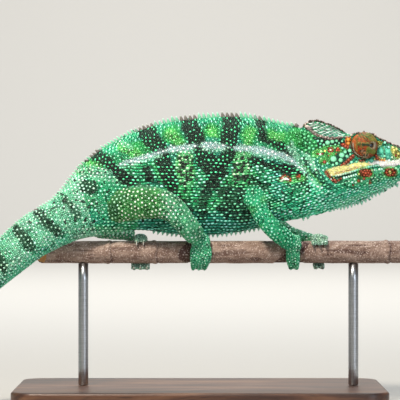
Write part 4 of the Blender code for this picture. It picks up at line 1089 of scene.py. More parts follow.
def intoRings(place, part, ringStep):  # the tail's scales lie in rings across it
    own = partsNamed(part, "tail")
    at, _, _, _ = bodyPlace(place[own])
    gone = np.interp(at, bodySteps, bodyLengths)
    line = (bodyDense[:, :2] + bodyDense[:, 2:4]) / 2
    along = unit(np.gradient(line, axis=0))
    there = np.stack([np.interp(at, bodySteps, along[:, k]) for k in (0, 1)], 1)
    pull = (np.round(gone / ringStep) * ringStep - gone) * 0.35
    place[own] += np.insert(there * pull[:, None], 1, 0, axis=1)
    return place


def treeOf(points):
    tree = KDTree(len(points))
    for number, point in enumerate(points.tolist()):
        tree.insert(point, number)
    tree.balance()
    return tree


def settle(place, face, reach, fixed, fixedReach, rounds, rowStep=0.0):  # crowded roots push each other apart
    everyReach = np.concatenate([reach, fixedReach])
    near = None
    for turn in range(rounds):
        every = np.vstack([place, fixed]) if len(fixed) else place
        if turn % 3 == 0:
            tree = treeOf(every)
            near = np.array([[found[1] for found in tree.find_n(point, 9)][1:] for point in place.tolist()])
        offset = place[:, None] - every[near]
        away = np.linalg.norm(offset, axis=2).clip(1e-3)
        push = (reach[:, None] + everyReach[near] - away).clip(0) / away * 0.42
        place = place + (offset * push[:, :, None]).sum(1)
        if rowStep:
            high = rowPlace(place)
            pull = (np.round(high / rowStep) * rowStep - high) * 0.3
            place[:, 2] += pull * rowShare(place, skinFaceParts[face])
            if turn % 2:
                place = intoRings(place, skinFaceParts[face], rowStep)
        if turn % 3 == 2 or turn == rounds - 1:
            place, face = dropOn(place)
    return place, face


def keepOpen(place, spots, reaches):  # which roots keep clear of the round spots
    keep = np.ones(len(place), bool)
    if not len(spots):
        return keep
    tree = treeOf(spots)
    for number, point in enumerate(place.tolist()):
        found = tree.find_n(point, 3)
        keep[number] = all(away > reaches[index] for _, index, away in found)
    return keep


def gatherSpots():  # single scales with a place of their own: plates, ridge beads, lip scales
    spots = []  # place, face, reach, kind
    for side in (-1, 1):
        for hue, plates in [*headPlates.items(), *bodyPlates.items()]:
            for x, z, radius in plates:
                found = fromSide(x + (side > 0) * 0.4, z - (side > 0) * 0.3, side)
                if found:
                    spots.append((*found, radius, hue))
    for line, step, reach in ((ridgeLine, 1.7, 0.84), (crownLine, 1.7, 0.84)):
        for knot in walk(line, step):
            for side in ((-1, 1) if line is ridgeLine else (1,)):
                place, face = dropOn([knot * (1, side, 1) + chance.uniform(-0.25, 0.25, 3)])
                spots.append((place[0], face[0], reach * chance.uniform(0.78, 1.12), "ridge"))
    for side in (-1, 1):
        line = np.array([(x, 0, z) for x, z, _ in skinLook["mouth"]][::-1])
        for lift, first in ((1.15, 0.0), (-1.15, 0.7)):
            for x, _, z in walk(line, 1.45)[1:]:
                found = fromSide(x + first, z + lift, side)
                if found and found[0][0] < 129:
                    spots.append((*found, 0.74, "lip"))
    low, top = walk(ridgeLine, 0.5), walk(crownLine, 0.5)
    for side in (-1, 1):  # long scales in rows on the casque's flat sides
        for row in range(8):
            share = 0.13 + row * 0.115
            for x in np.arange(65.0 + (row % 2) * 1.4, 87, 2.8):
                x += chance.uniform(-0.3, 0.3)
                under, over = (np.interp(x, line[:, 0], line[:, 2]) for line in (low, top))
                found = fromSide(x, under * (1 - share) + over * share, side)
                if found and over - under > 1.1 * row:
                    spots.append((*found, 0.74, "casque"))
    kept = []
    for spot in spots:  # the first of two that meet stays
        room = [0.72 if "casque" in (spot[3], other[3]) else 0.8 for other in kept]
        if all(np.linalg.norm(spot[0] - other[0]) > share * (spot[2] + other[2])
               for share, other in zip(room, kept)):
            kept.append(spot)
    return kept


def fromTurrets(points):  # how far the nearer turret's middle is
    return np.min([np.linalg.norm(points - np.array(eyeSeat["centre"]) * (1, side, 1), axis=1)
                   for side in (-1, 1)], 0)


def makeRoots():
    spots = gatherSpots()
    spotPlace = np.array([spot[0] for spot in spots])
    spotFace = np.array([spot[1] for spot in spots])
    spotReach = np.array([spot[2] for spot in spots])
    spotKind = np.array([spot[3] for spot in spots])
    grain = partValue(coatLook["grain"])
    knobStep, knobSize = partValue(coatLook["knob"], 0), partValue(coatLook["knob"], 1)
    bare = np.ones(len(skinPoints))
    bare[fromTurrets(skinPoints) < 8.3] = 0
    rounds = coatLook["rounds"]
    knob, knobFace = scatter(knobStep, bare)
    knob, knobFace = settle(knob, knobFace, readSkin(knob, knobFace, knobStep)[:, 0] / 2, spotPlace[:0],
                            spotReach[:0], rounds * 2, 2 * coatLook["row"])
    keep = keepOpen(knob, spotPlace, spotReach + 0.75)
    knob, knobFace = knob[keep], knobFace[keep]
    knobReach = readSkin(knob, knobFace, knobSize)[:, 0] * (0.82 + 0.42 * chance.random(len(knob)))
    big = np.vstack([knob, spotPlace])
    bigReach = np.concatenate([knobReach, spotReach])
    taken = spread(1 - 0.92 * (3.1416 * knobSize**2 / (0.866 * knobStep**2)).clip(0, 0.8), 2)
    grains, grainFace = scatter(grain, bare * taken)
    keep = keepOpen(grains, big, bigReach * 0.6)
    grains, grainFace = grains[keep], grainFace[keep]
    grainReach = readSkin(grains, grainFace, grain)[:, 0] / 2 * (0.9 + 0.2 * chance.random(len(grains)))
    grains, grainFace = settle(grains, grainFace, grainReach, big, bigReach * 0.93, rounds,
                               coatLook["row"])
    keep = keepOpen(grains, big, bigReach * 0.8) & (fromTurrets(grains) > 8.1)
    grains, grainFace, grainReach = grains[keep], grainFace[keep], grainReach[keep]
    print("roots:", len(grains), "grains,", len(knob), "knobs,", len(spotPlace), "single scales")
    return ((grains, grainFace, grainReach), (knob, knobFace, knobReach),
            (spotPlace, spotFace, spotReach, spotKind))


skinTones = paint(skinPoints, labels)
grainRoots, knobRoots, spotRoots = makeRoots()


def lieAlong(aim, way):  # the part of a direction that runs in the surface
    return unit(np.cross(np.cross(aim, way), aim))


def describe(place, face, reach, height, which, loose=0.0):
    aim = unit(readSkin(place, face, skinNormal))
    part = skinFaceParts[face]
    pair = paint(place, part)
    count = len(place)
    x, z = place[:, 0], place[:, 2]
    at, high, _, _ = bodyPlace(place)
    body = partsNamed(part, "trunk", "neck", "tail")
    rows = rowShare(place, part)
    crest = body * easeIn((high - 0.72) / 0.16) * easeIn((15 - at) / 3)
    casque = strokeShare(x, z, [(66.5, 75, 2.6), (75, 73.6, 3.2), (84, 71.6, 1.6)], 0.8)
    casque = casque * partsNamed(part, "head")
    way = np.tile((-1.0, 0, 0), (count, 1))
    way[casque > 0.5] = (-1, 0, 0.25)
    way[crest > 0.5] = (0.12, 0, -1)
    jaw = (x > 60) & (rows > 0.3)
    way[jaw] = (-1, 0, -0.38)
    longer = 1 + 0.45 * rows + 0.75 * crest + (1.15 if which else 0.5) * casque
    turn = chance.uniform(-1, 1, count) * np.where(longer > 1.15, 0.2, math.pi)
    lie = lieAlong(aim, way)
    side = np.cross(aim, lie)
    lie = lie * np.cos(turn)[:, None] + side * np.sin(turn)[:, None]
    lively = chance.random((count, 1))
    if which:  # some big scales take the small ones' colour, more of them on the dark bars
        deep = easeIn((0.14 - pair[0].mean(1)) * 12) * partsNamed(part, "trunk")
        bars = (deep * (0.35 + 0.65 * easeIn((z - 62) / 6)))[:, None]
        hide = (0.85 + 0.1 * bars) * easeIn((lively - 0.55 + 0.22 * bars - loose) / 0.35)
        tone = pair[1] * (1 - hide) + pair[0] * hide
    else:
        tone = pair[0]
    glow = (0.8 + 0.4 * chance.random((count, 1))) * (0.84 + 0.32 * fog(place, 2.6, 51))[:, None]
    tint = 1 + 0.14 * (chance.random((count, 3)) - 0.5)
    return {"place": place, "aim": aim, "lie": lie, "part": part,
            "size": np.stack([reach * longer, reach / np.sqrt(longer) * 1.04, height], 1),
            "tone": (tone * glow * tint).clip(0, 1), "rootMap": rootMap(place, face)}


def some(roots, keep):
    return {key: value[keep] for key, value in roots.items()}


def inPieces(name, roots, shape, finish, sides=22, **settings):
    most = coatLook["mostTriangles"] // sides
    groups = {group: partsNamed(roots["part"], start) for group, start in (
        ("head", "head"), ("jaw", "lower_jaw"), ("neck", "neck"), ("tail", "tail"), ("forelegs", "fore"),
        ("hindlegs", "hind"))}
    trunk, right = partsNamed(roots["part"], "trunk"), roots["place"][:, 1] < 0
    groups.update(trunk_right=trunk & right, trunk_left=trunk & ~right)
    for group, keep in groups.items():
        found = np.flatnonzero(keep)
        if not len(found):
            continue
        found = found[np.argsort(roots["place"][found, 0])]
        shares = max(1, -(-len(found) // most))
        for number, share in enumerate(np.array_split(found, shares)):
            label = f"{name}_{group}" + (f"_{number + 1}" if shares > 1 else "")
            plant(label, some(roots, share), shape, finish, seed=number + 3, **settings)


# Horny scales: keratin over pigmented skin, matt with a faint sheen; each scale's colour is painted lighter
# on its crown, a painted highlight, and darker at its base, painted shade where the scales meet

def scaleMaterial(name, rough, crownLight, rimShade, paleTipAndHighlight=0.0):
    material, tree, shader = newMaterial(name, {"Roughness": rough, "IOR": 1.45, "Specular IOR Level": 0.18})
    tone = addNode(tree, "ShaderNodeAttribute", attribute_name="tone")
    crown = addNode(tree, "ShaderNodeAttribute", attribute_name="crown")
    place = addNode(tree, "ShaderNodeTexCoord")
    speck = addNode(tree, "ShaderNodeTexNoise", {
        "Vector": place.outputs["Object"], "Scale": 1400.0, "Detail": 3.0})
    shade = addNode(tree, "ShaderNodeMapRange", {
        "Value": speck.outputs["Fac"], "From Min": 0.3, "From Max": 0.7, "To Min": 0.88, "To Max": 1.14})
    # Painted light on each scale: painted shade at its base and a painted highlight on its crown; pale
    # markings take less of the painted shade.
    rim = addNode(tree, "ShaderNodeMapRange", {
        "Value": crown.outputs["Fac"], "To Min": rimShade, "To Max": crownLight})
    grey = addNode(tree, "ShaderNodeRGBToBW", {"Color": tone.outputs["Color"]})
    pale = addNode(tree, "ShaderNodeMapRange", {
        "Value": grey.outputs[0], "From Min": 0.4, "From Max": 0.8, "To Min": 0.0, "To Max": 0.86})
    lift = addNode(tree, "ShaderNodeMath", {0: rim.outputs[0], 1: pale.outputs[0]}, operation="MAXIMUM")
    both = addNode(tree, "ShaderNodeMath", {0: shade.outputs[0], 1: lift.outputs[0]}, operation="MULTIPLY")
    scaled = addNode(tree, "ShaderNodeVectorMath", {0: tone.outputs["Color"], 3: both.outputs[0]},
                     operation="SCALE")
    # The crown mixed toward pale mint: a painted highlight on the small scales, and the real pale tip of the
    # crest spines.
    tip = addNode(tree, "ShaderNodeMapRange", {
        "Value": crown.outputs["Fac"], "From Min": 0.75, "To Min": 0.0, "To Max": paleTipAndHighlight})
    topped = addNode(tree, "ShaderNodeMix", {"Factor": tip.outputs[0], "A": scaled.outputs[0],
                                             "B": solid("E6F6EC")}, data_type="RGBA")
    tree.links.new(topped.outputs["Result"], shader.inputs["Base Color"])
    bump = addNode(tree, "ShaderNodeBump", {
        "Height": speck.outputs["Fac"], "Strength": 0.25, "Distance": 0.0002})
    tree.links.new(bump.outputs[0], shader.inputs["Normal"])
    return material


hornyScales = scaleMaterial("horny scales", 0.44, 1.22, 0.3, 0.14)
# A crown light of 0.5 on skin whose crown is 1 halves its colour: painted shade in the gaps between the
# scales.
thinSkin = scaleMaterial("thin skin between scales", 0.62, 0.5, 0.5)
grainPlace, grainFace, grainReach = grainRoots
knobPlace, knobFace, knobReach = knobRoots
spotPlace, spotFace, spotReach, spotKind = spotRoots
print("painting")
grainCoat = describe(grainPlace, grainFace, grainReach * 0.98, grainReach * 0.62, 0)
knobCoat = describe(knobPlace, knobFace, knobReach * 1.02, knobReach * 0.72, 1)
knobCoat["size"][:, 2] *= 1 - 0.6 * easeIn((knobCoat["tone"].mean(1) - 0.6) * 4)  # flat on the white stripe
spotRise = np.select([spotKind == "ridge", spotKind == "lip", spotKind == "casque"], [0.75, 0.5, 0.35], 0.3)
spotCoat = describe(spotPlace, spotFace, spotReach * 1.02, spotReach * spotRise, 1, 1.0)
for hue in headPlates:  # plates keep their own hue
    own = spotKind == hue
    tone = hues[hue][1] if hue not in ("chalk", "cyan") else hues[hue][0] * (0.8, 0.96, 0.86)
    spotCoat["tone"][own] = (tone * (0.78 + 0.34 * chance.random((own.sum(), 1)))).clip(0, 1)
onCasque = spotKind == "casque"
shade = 0.15 + 0.75 * chance.random((onCasque.sum(), 1))
spotCoat["tone"][onCasque] = (hues["chalk"][1] * shade).clip(0, 1)
onRidge = spotKind == "ridge"
shade = 0.25 + 0.9 * chance.random((onRidge.sum(), 1)) ** 2
spotCoat["tone"][onRidge] = (hues["bark"][1] * shade).clip(0, 1)
spotCoat["size"][onRidge] *= (0.8 + 0.4 * chance.random((onRidge.sum(), 1)))
inPieces("grain", grainCoat, grainShape, hornyScales, 22)
inPieces("knob", knobCoat, knobShape, hornyScales, 46)
inPieces("plate", spotCoat, knobShape, hornyScales, 46)
print("scales planted")
# The skin is darkened between the scales, partly as its own darker colour and partly as painted shade in the
# gaps; pale markings stay pale.
glare = skinTones[0].mean(1, keepdims=True)  # the pale markings stay pale between the scales
skinTone = skinTones[0] * (0.45 + 0.75 * easeIn((glare - 0.3) * 2.5))
setTones(skinMesh, skinTone.clip(0, 1))
setAttribute(skinMesh, "crown", "FLOAT", np.ones(len(skinPoints)))


# Crests: one row of spines down the back, small ones under the throat and the belly

crestLook = {"step": 2.8, "height": 3.8, "width": 1.45, "lastRow": 27.0, "lean": 0.25,
             "gular": {"from": 76.0, "to": 124.5, "step": 2.1, "height": 2.3, "width": 1.2},
             "ventral": {"from": -52.0, "to": 75.0, "step": 2.7, "height": 2.2, "width": 1.2}}


def spineRoots():
    places, aims, lies, sizes = [], [], [], []
    dense = np.linspace(0.2, crestLook["lastRow"], 4000)
    rows = smoothRow(bodyRows, dense)
    gone = goneAlong(rows[:, [0, 5, 1]])
    due = 0.8
    while due < gone[-1]:
        row = float(np.interp(due, gone, dense))
        here, after = smoothRow(bodyRows, [row, row + 0.05])
        root = here[[0, 5, 1]]
        up = unit(np.array((here[0] - here[2], 0, here[1] - here[3])))
        along = unit(after[[0, 5, 1]] - root)
        share = np.interp(row, (0, 3, 6, 10, 14, 27), (0.6, 1, 0.95, 0.7, 0.55, 0.2))
        pitch = crestLook["step"] * np.interp(row, (0, 5, 9, 14, 27), (1, 1, 0.78, 0.72, 0.55))
        hit = skinTree.ray_cast(Vector(root + up * 6), Vector(-up))
        if hit[0] and (hit[0] - Vector(root)).length < 4:
            places.append(np.array(hit[0]))
            aims.append(unit(up + along * (crestLook["lean"] + 0.45 * float(easeIn((row - 6) / 4)))))
            lies.append(along)
            width = crestLook["width"] * pitch / crestLook["step"]
            sizes.append((width, width * 0.75, crestLook["height"] * share * chance.uniform(0.9, 1.1)))
        due += pitch
    for key in ("gular", "ventral"):
        look = crestLook[key]
        edge, x = [], look["from"]
        while x < look["to"]:  # the lowest points of the throat and the belly
            sideways = float(np.interp(-x, -bodyRows[:18, 0], bodyRows[:18, 5]))
            hit = skinTree.ray_cast(Vector((x, sideways, -20)), Vector((0, 0, 1)))
            if hit[0] and (key == "gular" or fleshNames[skinFaceParts[hit[2]]] in ("trunk", "neck")):
                edge.append(np.array(hit[0]))
            x += look["step"] * chance.uniform(0.96, 1.04)
        runs = unit(np.gradient(np.array(edge), axis=0))
        for root, run in zip(edge, runs):
            down = unit(np.array((run[2], 0, -run[0])))
            places.append(root)
            aims.append(unit(down - 0.2 * run))
            lies.append(-run)
            high = look["height"] * min(1.0, 0.55 + (look["to"] - root[0]) / 30) * chance.uniform(0.9, 1.1)
            if key == "gular" and root[0] < 84:
                high *= 0.6
            sizes.append((look["width"], look["width"] * 0.85, high))
    return np.array(places), unit(np.array(aims)), unit(np.array(lies)), np.array(sizes)


spinePlace, spineAim, spineLie, spineSize = spineRoots()
_, spineFace = dropOn(spinePlace)
spineTones = paint(spinePlace, skinFaceParts[spineFace])
under = spineAim[:, 2] < 0
spineTone = np.where(under[:, None], linearColour("9CDCC0"), 0.75 * spineTones[0] + 0.25 * hues["chalk"][1])
onBar = (spineTones[0].sum(1) < 0.16) & ~under
spineTone = np.where(onBar[:, None], linearColour("77736C"), spineTone)
crestHorn = scaleMaterial("crest horn", 0.42, 1.1, 0.7, 0.6)
plant("crest", {"place": spinePlace - spineAim * 0.1, "aim": spineAim, "lie": spineLie, "size": spineSize,
                "tone": spineTone, "rootMap": rootMap(spinePlace, spineFace)},
      spikeShape, crestHorn, uneven=0.0, turn=0.0, seed=5)
print("crest:", len(spinePlace), "spines")


# Turrets: lids closed to a small round opening, covered in rings of tiny beads, with the eye inside

turretLook = {"radius": 8.05, "opening": 1.7, "bead": 0.46, "reach": 2.25, "sides": 72}


def turretFrame(side):
    gaze = unit(np.array(eyeSeat["gaze"]) * (1, side, 1))
    up = unit(np.array((0, 0, 1.0)) - gaze * gaze[2])
    return np.array(eyeSeat["centre"]) * (1, side, 1), gaze, up, unit(np.cross(up, gaze)) * -side


def turretPlace(frameOf, polar, turn, lift=0.0):  # polar angle from the gaze, turn from forward to up
    centre, gaze, up, ahead = frameOf
    polar, turn = np.asarray(polar), np.asarray(turn)
    # The lids rise into a low cone round the opening and sag a little under the brow.
    radius = turretLook["radius"] + 0.35 * np.exp(-((polar - 0.3) / 0.16) ** 2) + lift
    out = (gaze * np.cos(polar)[..., None] + (ahead * np.cos(turn)[..., None] + up * np.sin(turn)[..., None])
           * np.sin(polar)[..., None])
    return centre + out * radius[..., None], out


def turretTones(spots, side):  # strokes in mm forward of and above the turret's middle
    u, w = spots[:, 0] - eyeSeat["centre"][0], spots[:, 2] - eyeSeat["centre"][2]
    seedPlace = spots + (0, 0, 300 * (side > 0))
    u = u + 0.5 * (fog(seedPlace, 1.3, 33) - 0.5)
    w = w + 0.5 * (fog(seedPlace, 1.3, 34) - 0.5)
    away, turn = np.hypot(u - 4.7, w - 0.1), np.arctan2(w - 0.1, u - 4.7)
    tone = np.tile(linearColour("B2562C"), (len(u), 1))

    def over(share, hexText):
        nonlocal tone
        share = np.clip(share, 0, 1)[:, None]
        tone = tone * (1 - share) + linearColour(hexText) * share

    def stroke(knots, soft=0.8):
        return strokeShare(u, w, knots, soft)

    for knots, share, hexText in (
            ([(-4.5, 4.5, 2.4), (-6.6, 0, 2.0), (-5, -4, 1.6)], 0.8, "DE7440"),
            ([(-3.4, -2.2, 1.6), (-2.2, -5, 1.4)], 0.8, "A83820"),
            ([(3.0, 5.8, 2.6), (6.0, 3.4, 2.2)], 0.8, "B4A648"),
            ([(2.8, -2.6, 2.0), (5.4, -3.4, 1.8)], 0.85, "8CAA4C"),
            ([(-1.4, 6.6, 1.2), (2.0, 5.6, 1.6)], 0.4, "7E9A44"),
            ([(7.4, 1.5, 1.0), (7.4, -3, 1.2)], 0.7, "A83818"),
            ([(-0.6, -7.2, 1.2), (3.6, -6.8, 1.2)], 0.7, "9A6A50")):
        over(stroke(knots) * share, hexText)
    rays = easeIn((0.5 + 0.5 * np.cos(turn * 30 + 1.5 * np.sin(away * 1.3)) - 0.45) * 4)
    for knots, share, hexText in (
            ([(-2.6, 5.8, 2.0), (1.8, 3.6, 2.2)], 0.95, "1E6236"),
            ([(3.0, 6.4, 1.4), (5.4, 2.6, 1.2)], 0.7, "5E7A30"),
            ([(-1.8, -3.4, 1.5), (0.6, -5.4, 1.7)], 0.95, "1E4E38")):
        over(rays * stroke(knots) * share, hexText)
    over((1 - rays) * stroke([(-1.4, -3.8, 1.2), (1.0, -5.6, 1.3)]) * 0.4, "D8CDA8")
    line = [(-4.9, 0.5, 0.5), (-1.6, 0.4, 0.85), (2.4, 0.1, 0.75), (3.4, 0.1, 0.4)]
    over(stroke(line, 0.5) * 0.95, "124A30")
    over(stroke([(-4.4, 1.5, 0.28), (-1.4, 1.5, 0.3), (2.0, 1.2, 0.25)], 0.4) * 0.6, "8FB464")
    rim = np.hypot(u, w)
    lines = easeIn((0.5 + 0.5 * np.cos(rim * 5.4) - 0.4) * 4)
    corner = easeIn((-u - w - 4.6) / 1.6) * easeIn((rim - 6.2) / 0.5)
    over(corner * lines * 0.9, "DCD2BC")
    over(corner * (1 - lines) * 0.9, "1E1812")
    over(easeIn((2.5 - away) / 0.5) * 0.8, "DED6BE")
    over(easeIn((2.5 - away) / 0.5) * (np.cos(turn * 11) > 0.3) * 0.5, "4A4A38")
    for size, seed, start, share, hexText in (  # specks
            (1.1, 32, 0.68, 0.6, "5A2412"), (1.2, 31, 0.7, 0.5, "E89050"), (1.6, 35, 0.57, 0.55, "6E8A3E")):
        over(easeIn((fog(seedPlace, size, seed) - start) * 6) * share, hexText)
    return tone


def makeTurret(side):
    name = "right" if side < 0 else "left"
    place = turretFrame(side)
    hole = math.asin(turretLook["opening"] / turretLook["radius"])
    polars = np.concatenate([np.linspace(hole, 0.7, 14), np.linspace(0.76, turretLook["reach"], 26)])
    turns = circle(turretLook["sides"])
    rings = [turretPlace(place, np.full(len(turns), polar), turns)[0] for polar in polars]
    inner = [turretPlace(place, np.full(len(turns), polars[0] * share), turns, lift)[0]
             for share, lift in ((0.97, -0.25), (1.0, -0.7), (1.3, -1.3), (1.6, -2.2))]
    rings = inner[::-1] + rings
    points = np.vstack(rings)
    piece = addPiece("turret_" + name, points, ringFaces(0, len(rings), len(turns)), eyelid)
    turnOutward(piece)
    # The lid skin under the beads is painted darker: painted shade in the gaps between the beads.
    tone = turretTones(points, side) * 0.6
    setTones(piece.data, tone)
    setAttribute(piece.data, "crown", "FLOAT", np.full(len(points), 0.6))
    beadPolar, beadTurn, beadSize = [], [], []
    polar = hole + 0.055
    while polar < turretLook["reach"] - 0.05:
        size = turretLook["bead"] * (0.55 + 0.45 * min(1, (polar - hole) / 0.5))
        inRing = max(8, int(2 * math.pi * math.sin(polar) * turretLook["radius"] / (size * 1.95)))
        start = chance.uniform(0, 6.28)
        for number in range(inRing):
            beadPolar.append(polar + chance.uniform(-0.008, 0.008))
            beadTurn.append(start + 2 * math.pi * number / inRing)
            beadSize.append(size * chance.uniform(0.9, 1.08))
        polar += size * 1.82 / turretLook["radius"]
    beadPolar, beadTurn, beadSize = map(np.array, (beadPolar, beadTurn, beadSize))
    spots, aims = turretPlace(place, beadPolar, beadTurn)
    tone = turretTones(spots, side) * (0.46 + 0.72 * chance.random((len(spots), 1)))
    spokes = beadPolar / 6
    flat = np.stack([0.5 + spokes * np.cos(beadTurn), 0.5 + spokes * np.sin(beadTurn), 0 * spokes], 1)
    lie = unit(np.cross(np.cross(aims, place[1] + 1e-3), aims))
    beads = plant("turret_beads_" + name, {
        "place": spots - aims * 0.06, "aim": aims, "lie": lie, "tone": tone.clip(0, 1), "rootMap": flat,
        "size": np.stack([beadSize, beadSize * 1.05, beadSize * 0.62], 1)}, grainShape, eyelid, uneven=0.05)
    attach(piece, "root")
    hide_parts("eye_turret_" + name)
    return place


def makeEye(side, place):  # a glossy ball: black pupil, thin gold iris, dark brown beyond
    name = "right" if side < 0 else "left"
    centre, gaze, up, ahead = place
    middle = centre + gaze * eyeSeat["eyeDepth"]
    rows, count = 26, 40
    points, tone = [middle + gaze * eyeSeat["eyeRadius"]], [linearColour("050505")]
    for row in range(1, rows):
        polar = math.pi * row / rows
        hue = linearColour("040404" if polar < 0.52 else "B8862A" if polar < 0.64 else "20140C")
        for turn in circle(count):
            out = gaze * math.cos(polar) + (ahead * math.cos(turn) + up * math.sin(turn)) * math.sin(polar)
            points.append(middle + out * eyeSeat["eyeRadius"])
            tone.append(hue)
    points.append(middle - gaze * eyeSeat["eyeRadius"])
    tone.append(linearColour("2A1A10"))
    faces = ringFaces(1, rows - 1, count, False)
    last = 1 + (rows - 2) * count
    for turn in range(count):
        after = (turn + 1) % count
        faces += [(0, 1 + after, 1 + turn), (last + turn, last + after, len(points) - 1)]
    piece = addPiece("eye_ball_" + name, points, faces, wetEye)
    turnOutward(piece)
    setTones(piece.data, np.array(tone))
    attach(piece, "root")
    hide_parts("eye_" + name)


eyelid = scaleMaterial("lid skin", 0.48, 1.1, 0.5)
wetEye, eyeTree, eyeShader = newMaterial("wet cornea", {"Roughness": 0.06, "IOR": 1.38, "Coat Weight": 1.0,
                                                        "Coat Roughness": 0.03})
eyeTone = addNode(eyeTree, "ShaderNodeAttribute", attribute_name="tone")
eyeTree.links.new(eyeTone.outputs["Color"], eyeShader.inputs["Base Color"])
for side in (-1, 1):
    makeEye(side, makeTurret(side))
print("eyes ready")


# Claws: curved horn, pale at the tip, one on each toe

clawLook = {"length": 2.3, "thick": 0.72, "rings": 9, "sides": 12, "hook": 0.7,
            "dark": ("2E2A26", "6E675E"), "pale": ("8A8474", "F2EEE2")}  # from root to tip


def makeClaws():
    points, faces, tones = [], [], []
    for foot, tip, on, out, radius in toeEnds():
        shades = clawLook["dark" if foot == "forefoot_left" else "pale"]
        low, high = (linearColour(hexText) for hexText in shades)
        wide = np.cross(on, out)
        base = len(points)
        for ring in range(clawLook["rings"]):
            along = ring / (clawLook["rings"] - 1)
            bend, curve = clawLook["hook"] * along, clawLook["length"] / clawLook["hook"]
            centre = (tip + out * (0.25 - (1 - math.cos(bend)) * curve)
                      + on * (radius * 0.25 + math.sin(bend) * curve))
            up = unit(out * math.cos(bend) + on * math.sin(bend))
            thick = clawLook["thick"] * (1 - along) ** 0.75 + 0.03
            for turn in circle(clawLook["sides"]):
                points.append(centre + (wide * math.cos(turn) * 0.72 + up * math.sin(turn)) * thick)
                tones.append(low * (1 - along) + high * along)
        faces += ringFaces(base, clawLook["rings"], clawLook["sides"])
    piece = addPiece("claws", points, faces, clawHorn)
    turnOutward(piece)
    setTones(piece.data, np.array(tones))
    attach(piece, "root")


clawHorn, clawTree, clawShader = newMaterial("polished claw horn", {"Roughness": 0.32, "IOR": 1.54})
clawTone = addNode(clawTree, "ShaderNodeAttribute", attribute_name="tone")
clawTree.links.new(clawTone.outputs["Color"], clawShader.inputs["Base Color"])
makeClaws()


# Branch: thin bark in flakes over a darker layer, ring seams, a slanted cut at the left end

barkLook = {
    "from": -101.0, "to": 132.0, "radius": perchRadius, "step": 0.55, "sides": 150,
    "slant": 8.0, "turned": 32.0,
    "seams": ((-54.8, 0.4), (-27.2, 0.4), (112.0, 0.6)),
    # Where the outer bark is left: from, to, turn
    "plates": ((-103.0, -10.0, 0.4), (0.5, 47.0, 2.9), (62.5, 132.0, 1.3)),
}


def barkRadius(x, turn, place):
    low = np.zeros(len(x))
    for start, end, phase in barkLook["plates"]:
        ragged = 2.6 * (fog(place * (0.6, 1, 1), 4.5, 41) - 0.5) + 3.0 * np.cos(turn * 2 + phase)
        edge = np.minimum(x - start - ragged, end - x + ragged)
        low = np.maximum(low, easeIn(edge / 0.7 + 0.5))
    grain = fog(place * (0.22, 1, 1), 0.9, 42) - 0.5
    lumps = fog(place * (0.35, 1, 1), 4.0, 43) - 0.5
    cracks = easeIn((fog(place * (0.18, 1, 1), 1.6, 44) - 0.66) * 7)
    pits = easeIn((fog(place, 0.8, 45) - 0.78) * 8)
    radius = barkLook["radius"] - 0.42 * (1 - low) + 0.2 * grain + 0.34 * lumps
    radius -= 0.24 * cracks * low + 0.2 * pits
    seamed = np.zeros(len(x))
    for seam, proud in barkLook["seams"]:
        wavy = x - seam - 0.5 * np.sin(turn * 3 + seam)
        radius += proud * np.exp(-(wavy / 1.15) ** 2) - 0.3 * np.exp(-((wavy - 1.9) / 0.5) ** 2)
        seamed = np.maximum(seamed, np.exp(-(((wavy - 1.6) / 0.55) ** 2)) * (0.4 + 0.6 * fog(place, 3, 47)))
    # Darker where the under-layer, seams, cracks and pits show; the last term darkens the right part of the
    # branch as painted shade.
    dark = 0.9 * seamed + 0.8 * (1 - low) + 0.5 * cracks + 0.4 * pits + 0.18 * easeIn((x - 50) / 14)
    return radius, low, dark


def makeBranch():
    look = barkLook
    count = int((look["to"] - look["from"]) / look["step"]) + 1
    xs = np.linspace(look["from"], look["to"], count)
    turns = circle(look["sides"])
    x, turn = (part.ravel() for part in np.meshgrid(xs, turns, indexing="ij"))
    place = np.stack([x, np.sin(turn) * look["radius"], np.cos(turn) * look["radius"]], 1)
    radius, low, dark = barkRadius(x, turn, place)
    points = np.stack([x, np.sin(turn) * radius, np.cos(turn) * radius], 1)
    slant, turned = (math.tan(math.radians(look[key])) for key in ("slant", "turned"))
    start = look["from"] + (look["radius"] - points[:, 2]) * slant + (look["radius"] - points[:, 1]) * turned
    early = points[:, 0] < start
    squeezed = start + (points[:, 0] - look["from"]) * 0.02
    points[:, 0] = np.where(early, squeezed, points[:, 0])
    end = np.abs(points[:, 0] - look["to"]) < 0.4
    points[end, 1:] *= 0.96
    sides = look["sides"]
    faces = ringFaces(0, count, sides, False)
    hue = np.stack([low, dark, np.zeros(len(points))], 1)
    extra, extraHue = [], []
    for ring, sign in ((0, 1), (count - 1, -1)):  # the cut ends, in rings to the pith
        rim = points[ring * sides:(ring + 1) * sides]
        middle = rim.mean(0)
        before = ring * sides
        for share in (0.93, 0.8, 0.66, 0.52, 0.38, 0.24, 0.1):
            first = len(points) + len(extra)
            extra.extend(middle + (rim - middle) * share + np.array((0.12 * sign * (1 - share), 0, 0)))
            extraHue.extend([(share, 0, 1.0)] * sides)
            for number in range(sides):
                a, b = before + number, before + (number + 1) % sides
                c, d = first + (number + 1) % sides, first + number
                faces.append((a, d, c, b) if sign > 0 else (a, b, c, d))
            before = first
        tip = len(points) + len(extra)
        extra.append(middle + np.array((0.12 * sign, 0, 0)))
        extraHue.append((0.0, 0, 1.0))
        for number in range(sides):
            a, b = before + number, before + (number + 1) % sides
            faces.append((a, tip, b) if sign > 0 else (a, b, tip))
    piece = addPiece("branch", np.vstack([points, extra]), faces, barkMaterial)
    setTones(piece.data, np.vstack([hue, extraHue]), "layer")
    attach(piece, "root")
    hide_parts("perch_branch")


